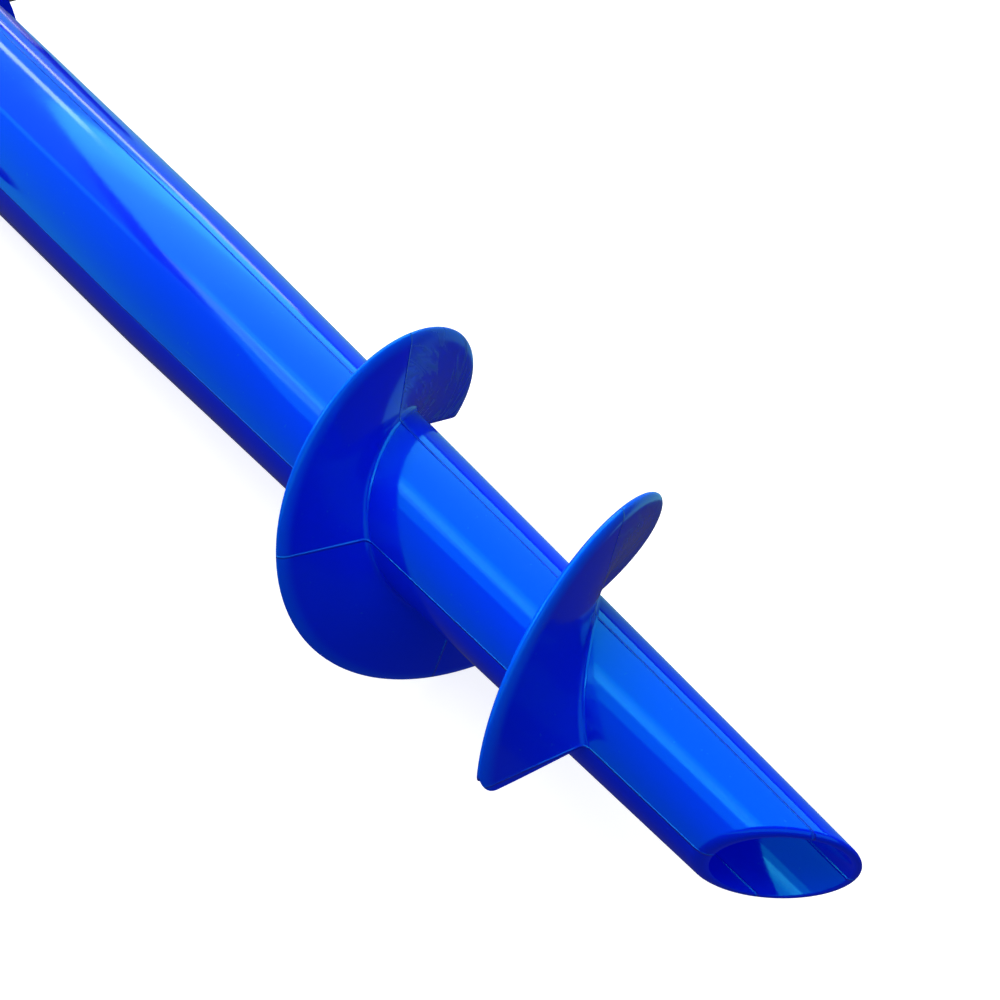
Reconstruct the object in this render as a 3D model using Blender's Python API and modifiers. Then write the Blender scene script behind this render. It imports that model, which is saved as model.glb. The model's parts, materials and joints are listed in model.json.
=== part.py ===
"""Screw-in ground anchor for a teardrop flag: a hollow tapered tube with one and a half turns of
flight and a slanting open tip, a hub with a sliding T-handle, and a free-turning pole spindle.

Every piece is drawn round the anchor's own axis, with +Z running from the tip to the spindle and
z = 0 at the very tip. The empty "anchor_axis" then lays the whole anchor on its side on the floor:
its tip points along +X, the handle runs along Y, and the hub and the flight's rim rest on z = 0.
"""

import math

import bmesh
import bpy
from mathutils import Matrix, Vector

# ---- running fits -------------------------------------------------------------------------
GAP = 0.0003          # between pieces that touch or turn in each other
SLIDE_GAP = 0.0004    # round the handle bar
CUT_MARGIN = 0.004    # how far a cutter runs past the surface it opens

# ---- tapered tube -------------------------------------------------------------------------
TUBE_LENGTH = 0.505
KNEE_HEIGHT = 0.248   # where the steep lower taper meets the slower upper one
TIP_RADIUS = 0.0114
KNEE_RADIUS = 0.0239
MOUTH_RADIUS = 0.0324
TIP_WALL = 0.0018
KNEE_WALL = 0.0024
MOUTH_WALL = 0.0030
CUT_TILT = math.radians(41.8)       # the slanting cut, away from square
CUT_AZIMUTH = math.radians(-81)     # the side that is cut shortest

# ---- flight -------------------------------------------------------------------------------
FLIGHT_RADIUS = 0.040
FLIGHT_START = 0.0543
FLIGHT_START_ANGLE = math.radians(-73)
FLIGHT_TURNS = 1.5
FLIGHT_PITCH = 0.0718
FLIGHT_ROOT_THICKNESS = 0.0056
FLIGHT_RIM_THICKNESS = 0.0028
FLIGHT_ROOT_RADIUS = 0.006          # inside the bore, which then trims it flush
FLIGHT_STEPS_PER_TURN = 36

# ---- hub ----------------------------------------------------------------------------------
SOCKET_DEPTH = 0.024                # how far the tube's mouth enters the collar
HUB_SKIRT = 0.004                   # how far the square block reaches down past the mouth
COLLAR_WALL = 0.0057
HUB_WEB = 0.008                     # plastic left above and below the handle tunnel
HUB_BEVEL = 0.014
RECESS_DEPTH = 0.007
RECESS_WIDTH = 0.015
RECESS_RIM = 0.007

# ---- handle -------------------------------------------------------------------------------
BAR_LENGTH = 0.300
BAR_RADIUS = 0.011
BAR_WALL = 0.0015
BUSH_WALL = 0.0020
BUSH_LENGTH = 0.022
BUSH_FLANGE_RADIUS = 0.0165
BUSH_FLANGE = 0.0018
GRIP_LENGTH = 0.066
GRIP_WALL = 0.0042
CAP_HEAD = 0.003
CAP_SHANK = 0.012

# ---- clamp screw --------------------------------------------------------------------------
CLAMP_RADIUS = 0.0040
CLAMP_LIFT = 0.003                  # travel of the loosened screw
INSERT_WALL = 0.0022
INSERT_LENGTH = 0.011
PAD_THICKNESS = 0.003
KNOB_RADIUS = 0.016
KNOB_HEIGHT = 0.013
KNOB_STAND_OFF = 0.0035
KNOB_LOBES = 5

# ---- spindle and its bearings -------------------------------------------------------------
SHAFT_RADIUS = 0.010
SHOULDER_RADIUS = 0.012
PIN_LENGTH = 0.136                  # above the rain skirt
BEARING_WIDTH = 0.012
INNER_RACE_WALL = 0.0034
OUTER_RACE_WALL = 0.0034
RACE_SPACE = 0.0039                 # between the two races
BALL_RADIUS = 0.0032
BALLS = 8
CAGE_WIDTH = 0.009
CAGE_WALL = 0.0012
SPACER_LENGTH = 0.008
CARTRIDGE_WALL = 0.0057
CARTRIDGE_LIP = 0.003
FLANGE_RADIUS = 0.035
FLANGE_THICKNESS = 0.003
SKIRT_RADIUS = 0.038
SKIRT_PLATE = 0.0025
SKIRT_LIP = 0.004
SKIRT_WALL = 0.002
O_RING_RADIUS = 0.0014
O_RING_PLACES = (0.024, 0.104)      # above the rain skirt
RING_THICKNESS = 0.0011
RING_REACH = 0.0025

# ---- screws -------------------------------------------------------------------------------
HUB_SCREW_RADIUS = 0.0017
HUB_SCREW_HEAD_RADIUS = 0.0035
HUB_SCREW_HEAD = 0.0022
LID_SCREW_RADIUS = 0.0019
LID_SCREW_HEAD_RADIUS = 0.0033
LID_SCREW_HEAD = 0.0024
LID_SCREW_LENGTH = 0.018
SCREWS = 4
SCREW_HOLE_GAP = 0.0003
BUNG_LENGTH = 0.012

# ---- how finely round things are cut ------------------------------------------------------
TUBE_SIDES = 50
ROUND_SIDES = 32
SMALL_SIDES = 16

# ---- places worked out from the sizes above -----------------------------------------------
SEAT = TUBE_LENGTH + GAP
HUB_BASE = TUBE_LENGTH - SOCKET_DEPTH
HUB_HALF = FLIGHT_RADIUS            # so that the anchor lies level on hub and flight
COLLAR_RADIUS = MOUTH_RADIUS + GAP + COLLAR_WALL
BUSH_BORE = BAR_RADIUS + SLIDE_GAP
BUSH_RADIUS = BUSH_BORE + BUSH_WALL
TUNNEL_RADIUS = BUSH_RADIUS + GAP
BAR_HEIGHT = SEAT + HUB_WEB + TUNNEL_RADIUS
POCKET_FLOOR = BAR_HEIGHT + TUNNEL_RADIUS + HUB_WEB
CARTRIDGE_BASE = POCKET_FLOOR + GAP
LOWER_BEARING = CARTRIDGE_BASE + CARTRIDGE_LIP + GAP
UPPER_BEARING = LOWER_BEARING + BEARING_WIDTH + SPACER_LENGTH + 2 * GAP
BEARING_TOP = UPPER_BEARING + BEARING_WIDTH
HUB_TOP = BEARING_TOP + 0.0015
FLANGE_BASE = HUB_TOP + GAP
COVER_BASE = FLANGE_BASE + FLANGE_THICKNESS + GAP
COVER_TOP = COVER_BASE + FLANGE_THICKNESS
LID_HEAD_BASE = COVER_TOP + GAP
SKIRT_LIP_BASE = COVER_TOP + 0.0009
SKIRT_PLATE_BASE = SKIRT_LIP_BASE + SKIRT_LIP
SKIRT_TOP = SKIRT_PLATE_BASE + SKIRT_PLATE
PIN_END = SKIRT_TOP + PIN_LENGTH
INNER_RACE_BORE = SHAFT_RADIUS + GAP
INNER_RACE_RADIUS = INNER_RACE_BORE + INNER_RACE_WALL
OUTER_RACE_BORE = INNER_RACE_RADIUS + RACE_SPACE
OUTER_RACE_RADIUS = OUTER_RACE_BORE + OUTER_RACE_WALL
BALL_CIRCLE = (INNER_RACE_RADIUS + OUTER_RACE_BORE) / 2
CARTRIDGE_BORE = OUTER_RACE_RADIUS + GAP
CARTRIDGE_RADIUS = CARTRIDGE_BORE + CARTRIDGE_WALL
POCKET_RADIUS = CARTRIDGE_RADIUS + GAP
LID_SCREW_CIRCLE = (CARTRIDGE_RADIUS + FLANGE_RADIUS) / 2
SEAL_BORE = SHOULDER_RADIUS + GAP
SEAL_RADIUS = SEAL_BORE + 0.0024
BLOCK_BASE = SEAT - HUB_SKIRT
HUB_SCREW_HEIGHT = (HUB_BASE + BLOCK_BASE) / 2
INSERT_RADIUS = CLAMP_RADIUS + GAP + INSERT_WALL
TOTAL_LENGTH = PIN_END

# ---- colours ------------------------------------------------------------------------------
PLASTIC_BLUE = (0.004, 0.088, 0.760)
PLASTIC_BLACK = (0.020, 0.021, 0.023)
RUBBER_BLACK = (0.012, 0.012, 0.013)
STEEL_GREY = (0.560, 0.570, 0.580)
BRASS_YELLOW = (0.720, 0.520, 0.200)


# ---- scene and helpers --------------------------------------------------------------------
def clear_scene():
    """Removes the objects of the startup scene."""
    for obj in list(bpy.data.objects):
        bpy.data.objects.remove(obj)


def make_collection(name):
    """A new collection under the scene's own."""
    collection = bpy.data.collections.new(name)
    bpy.context.scene.collection.children.link(collection)
    return collection


def make_material(name, colour, roughness, metallic=0.0):
    """A Principled material with one colour."""
    material = bpy.data.materials.new(name)
    material.use_nodes = True
    shader = material.node_tree.nodes["Principled BSDF"]
    shader.inputs["Base Color"].default_value = (*colour, 1.0)
    shader.inputs["Roughness"].default_value = roughness
    shader.inputs["Metallic"].default_value = metallic
    return material


clear_scene()
PARTS = make_collection("flag_ground_anchor")
CUTTERS = make_collection("cutters")
BLUE = make_material("moulded_blue", PLASTIC_BLUE, 0.18)
BLACK = make_material("moulded_black", PLASTIC_BLACK, 0.42)
RUBBER = make_material("grip_rubber", RUBBER_BLACK, 0.75)
STEEL = make_material("plated_steel", STEEL_GREY, 0.28, 1.0)
BRASS = make_material("turned_brass", BRASS_YELLOW, 0.30, 1.0)

AXIS = bpy.data.objects.new("anchor_axis", None)
PARTS.objects.link(AXIS)
AXIS.rotation_euler = (0.0, -math.pi / 2, 0.0)
AXIS.location = (TOTAL_LENGTH / 2, 0.0, FLIGHT_RADIUS)


def add_object(name, mesh, material, location=(0, 0, 0), rotation=(0, 0, 0)):
    """An object in the anchor's own axes. Without a material it is a cutter."""
    obj = bpy.data.objects.new(name, mesh)
    obj.parent = AXIS
    obj.location = location
    obj.rotation_euler = rotation
    if material is None:
        obj.hide_render = True
        obj.display_type = "WIRE"
        CUTTERS.objects.link(obj)
        return obj
    mesh.materials.append(material)
    PARTS.objects.link(obj)
    return obj


def mesh_from(bm, name):
    """Writes a bmesh to a new mesh with its normals facing out."""
    bmesh.ops.recalc_face_normals(bm, faces=bm.faces[:])
    mesh = bpy.data.meshes.new(name)
    bm.to_mesh(mesh)
    bm.free()
    return mesh


def turned(name, profile, material, closed=False, sides=ROUND_SIDES, **place):
    """Turns (radius, height) points round Z. They run down the outer side, top to bottom."""
    count = len(profile)
    edges = [(i, i + 1) for i in range(count - 1)]
    if closed:
        edges.append((count - 1, 0))
    mesh = bpy.data.meshes.new(name)
    mesh.from_pydata([(radius, 0.0, height) for radius, height in profile], edges, [])
    obj = add_object(name, mesh, material, **place)
    screw = obj.modifiers.new("turn", "SCREW")
    screw.axis = "Z"
    screw.angle = 2 * math.pi
    screw.steps = screw.render_steps = sides
    screw.use_merge_vertices = True
    screw.merge_threshold = 0.00001
    screw.use_smooth_shade = True
    return obj


def ring(name, bore, radius, base, top, material, **more):
    """A plain tube or washer round Z."""
    profile = [(bore, top), (radius, top), (radius, base), (bore, base)]
    return turned(name, profile, material, closed=True, **more)


def rod(name, radius, base, top, material, **more):
    """A plain solid cylinder round Z."""
    profile = [(0.0, top), (radius, top), (radius, base), (0.0, base)]
    return turned(name, profile, material, **more)


def block(name, low, high, material):
    """A box between two corners."""
    bm = bmesh.new()
    bmesh.ops.create_cube(bm, size=1.0)
    low, high = Vector(low), Vector(high)
    bmesh.ops.scale(bm, vec=high - low, verts=bm.verts)
    bmesh.ops.translate(bm, vec=(low + high) / 2, verts=bm.verts)
    return add_object(name, mesh_from(bm, name), material)


def boolean(obj, other, operation="DIFFERENCE"):
    """Cuts or joins another object into this one."""
    modifier = obj.modifiers.new(other.name, "BOOLEAN")
    modifier.operation = operation
    modifier.solver = "EXACT"
    modifier.object = other


def on_circle(radius, height, angle):
    """A point at this angle round the axis."""
    return (radius * math.cos(angle), radius * math.sin(angle), height)


def outward(angle):
    """The rotation that turns a piece's own +Z to point away from the axis."""
    return (0.0, math.pi / 2, angle)


# ---- tapered tube with its flight ---------------------------------------------------------
def tube_radius(height, margin=0.0):
    """The tube's outer radius at a height, less a wall of the same taper if margin is given."""
    if height < KNEE_HEIGHT:
        slope = (KNEE_RADIUS - TIP_RADIUS) / KNEE_HEIGHT
    else:
        slope = (MOUTH_RADIUS - KNEE_RADIUS) / (TUBE_LENGTH - KNEE_HEIGHT)
    return KNEE_RADIUS + slope * (height - KNEE_HEIGHT) - margin


def bore_radius(height):
    """The bore's radius at a height: the tube's, less a wall that thickens towards the mouth."""
    if height < KNEE_HEIGHT:
        share = height / KNEE_HEIGHT
        wall = TIP_WALL + (KNEE_WALL - TIP_WALL) * share
    else:
        share = (height - KNEE_HEIGHT) / (TUBE_LENGTH - KNEE_HEIGHT)
        wall = KNEE_WALL + (MOUTH_WALL - KNEE_WALL) * share
    return tube_radius(height, wall)


def flight_mesh():
    """The flight: a tapering section spun up the helix, with a flat face at each end."""
    half_root, half_rim = FLIGHT_ROOT_THICKNESS / 2, FLIGHT_RIM_THICKNESS / 2
    section = [
        (FLIGHT_ROOT_RADIUS, -half_root),
        (FLIGHT_RADIUS - half_rim, -half_rim),
        (FLIGHT_RADIUS, -half_rim / 2),
        (FLIGHT_RADIUS, half_rim / 2),
        (FLIGHT_RADIUS - half_rim, half_rim),
        (FLIGHT_ROOT_RADIUS, half_root),
    ]
    bm = bmesh.new()
    corners = [bm.verts.new(Vector((radius, 0.0, height))) for radius, height in section]
    face = bm.faces.new(corners)
    turn_to_start = Matrix.Rotation(FLIGHT_START_ANGLE, 3, "Z")
    bmesh.ops.rotate(bm, verts=corners, matrix=turn_to_start)
    bmesh.ops.translate(bm, verts=corners, vec=(0, 0, FLIGHT_START))
    steps = round(FLIGHT_STEPS_PER_TURN * FLIGHT_TURNS)
    bmesh.ops.spin(
        bm,
        geom=corners + list(face.edges) + [face],
        cent=(0, 0, 0),
        axis=(0, 0, 1),
        dvec=(0, 0, FLIGHT_PITCH * FLIGHT_TURNS / steps),
        angle=2 * math.pi * FLIGHT_TURNS,
        steps=steps,
        use_merge=False,
        use_duplicate=False,
    )
    return mesh_from(bm, "flight")


def slanting_tip_cutter():
    """A block whose one face is the slanting cut, with the tip's longest point left at z = 0."""
    reach = TIP_RADIUS * math.tan(CUT_TILT)
    size = 6 * TIP_RADIUS
    bm = bmesh.new()
    bmesh.ops.create_cube(bm, size=size)
    bmesh.ops.translate(bm, vec=(0, 0, -size / 2), verts=bm.verts)
    mesh = mesh_from(bm, "tip_cutter")
    cutter = add_object("tip_cutter", mesh, None)
    lean = Matrix.Rotation(CUT_AZIMUTH, 3, "Z") @ Matrix.Rotation(-CUT_TILT, 3, "Y")
    cutter.location = (0, 0, reach)
    cutter.rotation_euler = lean.to_euler()
    return cutter


def make_auger_body():
    """The one moulding that goes into the ground: tube, flight and open slanting tip."""
    below = -CUT_MARGIN
    body = turned(
        "auger_body",
        [
            (0.0, TUBE_LENGTH),
            (MOUTH_RADIUS, TUBE_LENGTH),
            (KNEE_RADIUS, KNEE_HEIGHT),
            (tube_radius(below), below),
            (0.0, below),
        ],
        BLUE,
        sides=TUBE_SIDES,
    )
    boolean(body, add_object("flight_blank", flight_mesh(), None), "UNION")
    past_mouth = TUBE_LENGTH + CUT_MARGIN
    past_tip = below - CUT_MARGIN
    bore = turned(
        "bore_cutter",
        [
            (0.0, past_mouth),
            (bore_radius(TUBE_LENGTH), past_mouth),
            (bore_radius(TUBE_LENGTH), TUBE_LENGTH),
            (bore_radius(KNEE_HEIGHT), KNEE_HEIGHT),
            (bore_radius(past_tip), past_tip),
            (0.0, past_tip),
        ],
        None,
        sides=TUBE_SIDES,
    )
    boolean(body, slanting_tip_cutter())
    boolean(body, bore)
    for number in range(SCREWS):
        boolean(body, hub_screw_hole(number, "wall"))
    return body


# ---- hub ----------------------------------------------------------------------------------
def hub_screw_angle(number):
    """The hub screws stand on the diagonals, clear of the handle and the floor."""
    return math.radians(45) + number * 2 * math.pi / SCREWS


def hub_screw_hole(number, what):
    """A radial hole through the collar and the tube's wall."""
    radius = HUB_SCREW_RADIUS + SCREW_HOLE_GAP
    angle = hub_screw_angle(number)
    return rod(
        f"{what}_hole_{number + 1}",
        radius,
        bore_radius(TUBE_LENGTH) - CUT_MARGIN,
        COLLAR_RADIUS + CUT_MARGIN,
        None,
        sides=SMALL_SIDES,
        location=(0, 0, HUB_SCREW_HEIGHT),
        rotation=outward(angle),
    )


def hub_blank():
    """The hub's block with its four long corners bevelled."""
    bm = bmesh.new()
    bmesh.ops.create_cube(bm, size=1.0)
    height = HUB_TOP - BLOCK_BASE
    bmesh.ops.scale(bm, vec=(2 * HUB_HALF, 2 * HUB_HALF, height), verts=bm.verts)
    bmesh.ops.translate(bm, vec=(0, 0, (HUB_TOP + BLOCK_BASE) / 2), verts=bm.verts)
    upright = [e for e in bm.edges if abs(e.verts[0].co.z - e.verts[1].co.z) > height / 2]
    bmesh.ops.bevel(
        bm, geom=upright, offset=HUB_BEVEL, offset_type="OFFSET", segments=3,
        profile=0.5, affect="EDGES", clamp_overlap=True, material=-1,
    )
    return mesh_from(bm, "head_hub")


def make_head_hub():
    """The hub: a socket for the tube, a tunnel for the handle and a pocket for the bearings."""
    hub = add_object("head_hub", hub_blank(), BLUE)
    collar = rod("collar_blank", COLLAR_RADIUS, HUB_BASE, SEAT + GAP, None, sides=TUBE_SIDES)
    boolean(hub, collar, "UNION")
    socket_base = HUB_BASE - CUT_MARGIN
    socket = turned(
        "socket_cutter",
        [
            (0.0, SEAT),
            (MOUTH_RADIUS + GAP, SEAT),
            (tube_radius(socket_base) + GAP, socket_base),
            (0.0, socket_base),
        ],
        None, sides=TUBE_SIDES,
    )
    boolean(hub, socket)
    pocket = rod("pocket_cutter", POCKET_RADIUS, POCKET_FLOOR, HUB_TOP + CUT_MARGIN, None)
    boolean(hub, pocket)
    reach = HUB_HALF + CUT_MARGIN
    tunnel = rod(
        "tunnel_cutter", TUNNEL_RADIUS, -reach, reach, None,
        location=(0, 0, BAR_HEIGHT), rotation=(math.pi / 2, 0, 0),
    )
    boolean(hub, tunnel)
    clamp_hole = rod(
        "clamp_hole_cutter", CLAMP_RADIUS + GAP, 0.0, reach, None, sides=SMALL_SIDES,
        location=(0, 0, BAR_HEIGHT), rotation=outward(0),
    )
    boolean(hub, clamp_hole)
    insert_hole = rod(
        "insert_hole_cutter", INSERT_RADIUS + GAP, HUB_HALF - INSERT_LENGTH - 2 * GAP, reach, None,
        sides=SMALL_SIDES, location=(0, 0, BAR_HEIGHT), rotation=outward(0),
    )
    boolean(hub, insert_hole)
    for cutter in hub_recesses():
        boolean(hub, cutter)
    for number in range(SCREWS):
        boolean(hub, hub_screw_hole(number, "collar"))
        boolean(hub, lid_screw_hole(number, "hub", HUB_TOP - LID_SCREW_LENGTH, HUB_TOP))
    return hub


def hub_recesses():
    """Shallow sinks in the two flat faces, one each side of a middle rib."""
    low, high = SEAT + RECESS_RIM, HUB_TOP - RECESS_RIM
    inner = INSERT_RADIUS + RECESS_RIM / 2
    cutters = []
    for face in (-1, 1):
        for side in (-1, 1):
            xs = sorted((face * (HUB_HALF - RECESS_DEPTH), face * (HUB_HALF + CUT_MARGIN)))
            ys = sorted((side * inner, side * (inner + RECESS_WIDTH)))
            name = f"recess_{'up' if face > 0 else 'down'}_{'left' if side > 0 else 'right'}"
            cutters.append(block(name, (xs[0], ys[0], low), (xs[1], ys[1], high), None))
    return cutters


# ---- handle -------------------------------------------------------------------------------
ALONG_HANDLE = (-math.pi / 2, 0, 0)          # turns a piece's own +Z to the anchor's +Y
ALONG_HANDLE_BACK = (math.pi / 2, 0, 0)


def make_handle():
    """The T-bar with its grips and end caps, and the two bushes that it slides in."""
    centre = (0, 0, BAR_HEIGHT)
    half = BAR_LENGTH / 2
    ring("handle_bar", BAR_RADIUS - BAR_WALL, BAR_RADIUS, -half, half, STEEL,
         location=centre, rotation=ALONG_HANDLE)
    for side, turn in (("left", ALONG_HANDLE), ("right", ALONG_HANDLE_BACK)):
        make_bush(f"tunnel_bush_{side}", centre, turn)
        make_grip(f"grip_{side}", centre, turn)
        make_cap(f"bar_cap_{side}", centre, turn)


def make_bush(name, centre, turn):
    """A flanged nylon sleeve pushed into one end of the tunnel."""
    face = HUB_HALF + GAP
    turned(
        name,
        [
            (BUSH_BORE, face + BUSH_FLANGE),
            (BUSH_FLANGE_RADIUS, face + BUSH_FLANGE),
            (BUSH_FLANGE_RADIUS, face),
            (BUSH_RADIUS, face),
            (BUSH_RADIUS, face - BUSH_LENGTH),
            (BUSH_BORE, face - BUSH_LENGTH),
        ],
        BLACK, closed=True, location=centre, rotation=turn,
    )


def make_grip(name, centre, turn):
    """A rubber sleeve, a little barrelled, with a bead at each end."""
    end = BAR_LENGTH / 2
    start = end - GRIP_LENGTH
    bore = BAR_RADIUS + GAP
    outer = bore + GRIP_WALL
    waist = outer - GRIP_WALL / 4
    bead = GRIP_LENGTH / 12
    turned(
        name,
        [
            (bore, end),
            (waist, end),
            (outer, end - bead),
            (waist, end - 2 * bead),
            (outer, (start + end) / 2),
            (waist, start + 2 * bead),
            (outer, start + bead),
            (waist, start),
            (bore, start),
        ],
        RUBBER, closed=True, sides=24, location=centre, rotation=turn,
    )


def make_cap(name, centre, turn):
    """A push-in plug that closes the end of the bar."""
    end = BAR_LENGTH / 2 + GAP
    shank = BAR_RADIUS - BAR_WALL - GAP
    head = BAR_RADIUS + GRIP_WALL / 2
    turned(
        name,
        [
            (0.0, end + CAP_HEAD),
            (head - CAP_HEAD / 2, end + CAP_HEAD),
            (head, end + CAP_HEAD / 2),
            (head, end),
            (shank, end),
            (shank, end - CAP_SHANK),
            (0.0, end - CAP_SHANK),
        ],
        BLACK, sides=24, location=centre, rotation=turn,
    )


# ---- clamp screw --------------------------------------------------------------------------
def make_clamp():
    """The hand screw that presses a brass pad on the bar, through a brass insert in the hub."""
    place = {"location": (0, 0, BAR_HEIGHT), "rotation": outward(0)}
    pad_base = BAR_RADIUS + GAP
    pad_top = pad_base + PAD_THICKNESS
    rod("clamp_pad", CLAMP_RADIUS - GAP, pad_base, pad_top, BRASS, sides=SMALL_SIDES, **place)
    insert_top = HUB_HALF - GAP
    ring("thread_insert", CLAMP_RADIUS + GAP, INSERT_RADIUS, insert_top - INSERT_LENGTH,
         insert_top, BRASS, sides=SMALL_SIDES, **place)
    knob_base = HUB_HALF + KNOB_STAND_OFF
    screw_top = knob_base + KNOB_HEIGHT * 0.6
    rod("clamp_screw", CLAMP_RADIUS, pad_top + GAP, screw_top, STEEL, sides=SMALL_SIDES, **place)
    knob = add_object("clamp_knob", knob_blank(knob_base), BLACK, **place)
    socket = rod("knob_socket", CLAMP_RADIUS + GAP, knob_base - CUT_MARGIN, screw_top + GAP, None,
                 sides=SMALL_SIDES, **place)
    boolean(knob, socket)


def knob_blank(base):
    """A star knob: an outline of soft lobes, given its height."""
    bm = bmesh.new()
    points = 6 * KNOB_LOBES
    depth = KNOB_RADIUS / 8
    outline = []
    for i in range(points):
        angle = 2 * math.pi * i / points
        radius = KNOB_RADIUS - depth * (1 - math.cos(KNOB_LOBES * angle))
        outline.append(bm.verts.new(on_circle(radius, base, angle)))
    face = bm.faces.new(outline)
    grown = bmesh.ops.extrude_face_region(bm, geom=[face])
    top = [v for v in grown["geom"] if isinstance(v, bmesh.types.BMVert)]
    bmesh.ops.translate(bm, vec=(0, 0, KNOB_HEIGHT), verts=top)
    return mesh_from(bm, "clamp_knob")


# ---- bearings -----------------------------------------------------------------------------
def groove(circle, sign, middle):
    """Points of a ball groove in a race, top to bottom, sunk away from the ball by the gap."""
    radius = BALL_RADIUS + GAP
    reach = math.acos(RACE_SPACE / 2 / radius)
    points = []
    for step in range(5):
        angle = reach * (1 - step / 2)
        points.append((circle + sign * radius * math.cos(angle), middle + radius * math.sin(angle)))
    return points


def make_bearing(where, base):
    """One ball bearing: two grooved races, a cage and its balls."""
    top = base + BEARING_WIDTH
    middle = (base + top) / 2
    inner_groove = groove(BALL_CIRCLE, -1, middle)
    turned(
        f"inner_race_{where}",
        [(INNER_RACE_BORE, top), (INNER_RACE_RADIUS, top), *inner_groove,
         (INNER_RACE_RADIUS, base), (INNER_RACE_BORE, base)],
        STEEL, closed=True, sides=24,
    )
    outer_groove = groove(BALL_CIRCLE, 1, middle)
    turned(
        f"outer_race_{where}",
        [(OUTER_RACE_BORE, top), (OUTER_RACE_RADIUS, top), (OUTER_RACE_RADIUS, base),
         (OUTER_RACE_BORE, base), *reversed(outer_groove)],
        STEEL, closed=True, sides=24,
    )
    cage = ring(f"ball_cage_{where}", BALL_CIRCLE - CAGE_WALL / 2, BALL_CIRCLE + CAGE_WALL / 2,
                middle - CAGE_WIDTH / 2, middle + CAGE_WIDTH / 2, BRASS, sides=24)
    ball_mesh = None
    for number in range(BALLS):
        angle = 2 * math.pi * (number + 0.5) / BALLS
        pocket = rod(f"cage_pocket_{where}_{number + 1}", BALL_RADIUS + GAP,
                     BALL_CIRCLE - 2 * CAGE_WALL, BALL_CIRCLE + 2 * CAGE_WALL, None, sides=12,
                     location=(0, 0, middle), rotation=outward(angle))
        boolean(cage, pocket)
        ball_mesh = ball_mesh or make_ball_mesh()
        add_object(f"ball_{where}_{number + 1}", ball_mesh, STEEL,
                   location=on_circle(BALL_CIRCLE, middle, angle))


def make_ball_mesh():
    """One ball's mesh, which a bearing's balls share."""
    bm = bmesh.new()
    bmesh.ops.create_icosphere(bm, subdivisions=2, radius=BALL_RADIUS)
    return mesh_from(bm, "ball")


def make_spacers():
    """The two rings that hold the bearings apart."""
    base = LOWER_BEARING + BEARING_WIDTH + GAP
    top = base + SPACER_LENGTH
    ring("outer_spacer", OUTER_RACE_RADIUS - OUTER_RACE_WALL / 2, OUTER_RACE_RADIUS, base, top, STEEL,
         sides=24)
    ring("inner_spacer", INNER_RACE_BORE, INNER_RACE_RADIUS - INNER_RACE_WALL / 3, base, top, STEEL,
         sides=24)


# ---- bearing cartridge and cover ----------------------------------------------------------
def lid_screw_place(number):
    """The cover's screws stand on the diagonals of the hub."""
    angle = math.radians(45) + number * 2 * math.pi / SCREWS
    return on_circle(LID_SCREW_CIRCLE, 0.0, angle)


def lid_screw_hole(number, what, base, top):
    """An upright hole for one of the cover's screws."""
    return rod(f"{what}_lid_hole_{number + 1}", LID_SCREW_RADIUS + SCREW_HOLE_GAP,
               base - GAP, top + CUT_MARGIN, None, sides=SMALL_SIDES,
               location=lid_screw_place(number))


def make_cartridge():
    """The flanged housing that holds both bearings in the hub's pocket."""
    flange_top = FLANGE_BASE + FLANGE_THICKNESS
    lip_bore = OUTER_RACE_BORE - GAP
    cartridge = turned(
        "bearing_cartridge",
        [
            (CARTRIDGE_BORE, flange_top),
            (FLANGE_RADIUS, flange_top),
            (FLANGE_RADIUS, FLANGE_BASE),
            (CARTRIDGE_RADIUS, FLANGE_BASE),
            (CARTRIDGE_RADIUS, CARTRIDGE_BASE),
            (lip_bore, CARTRIDGE_BASE),
            (lip_bore, CARTRIDGE_BASE + CARTRIDGE_LIP),
            (CARTRIDGE_BORE, CARTRIDGE_BASE + CARTRIDGE_LIP),
        ],
        BLACK, closed=True,
    )
    nose = BEARING_TOP + GAP
    cover = turned(
        "bearing_cover",
        [
            (SEAL_RADIUS + GAP, COVER_TOP),
            (FLANGE_RADIUS, COVER_TOP),
            (FLANGE_RADIUS, COVER_BASE),
            (OUTER_RACE_RADIUS - GAP, COVER_BASE),
            (OUTER_RACE_RADIUS - GAP, nose),
            (OUTER_RACE_BORE + GAP, nose),
            (OUTER_RACE_BORE + GAP, COVER_BASE),
            (SEAL_RADIUS + GAP, COVER_BASE),
        ],
        BLACK, closed=True,
    )
    for number in range(SCREWS):
        boolean(cartridge, lid_screw_hole(number, "cartridge", FLANGE_BASE - CUT_MARGIN, flange_top))
        boolean(cover, lid_screw_hole(number, "cover", COVER_BASE - CUT_MARGIN, COVER_TOP))
    ring("dust_seal", SEAL_BORE, SEAL_RADIUS, COVER_BASE, COVER_TOP, RUBBER)


# ---- spindle ------------------------------------------------------------------------------
def o_ring_height(place):
    """The height of an O-ring's middle on the pin."""
    return SKIRT_TOP + place


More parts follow.
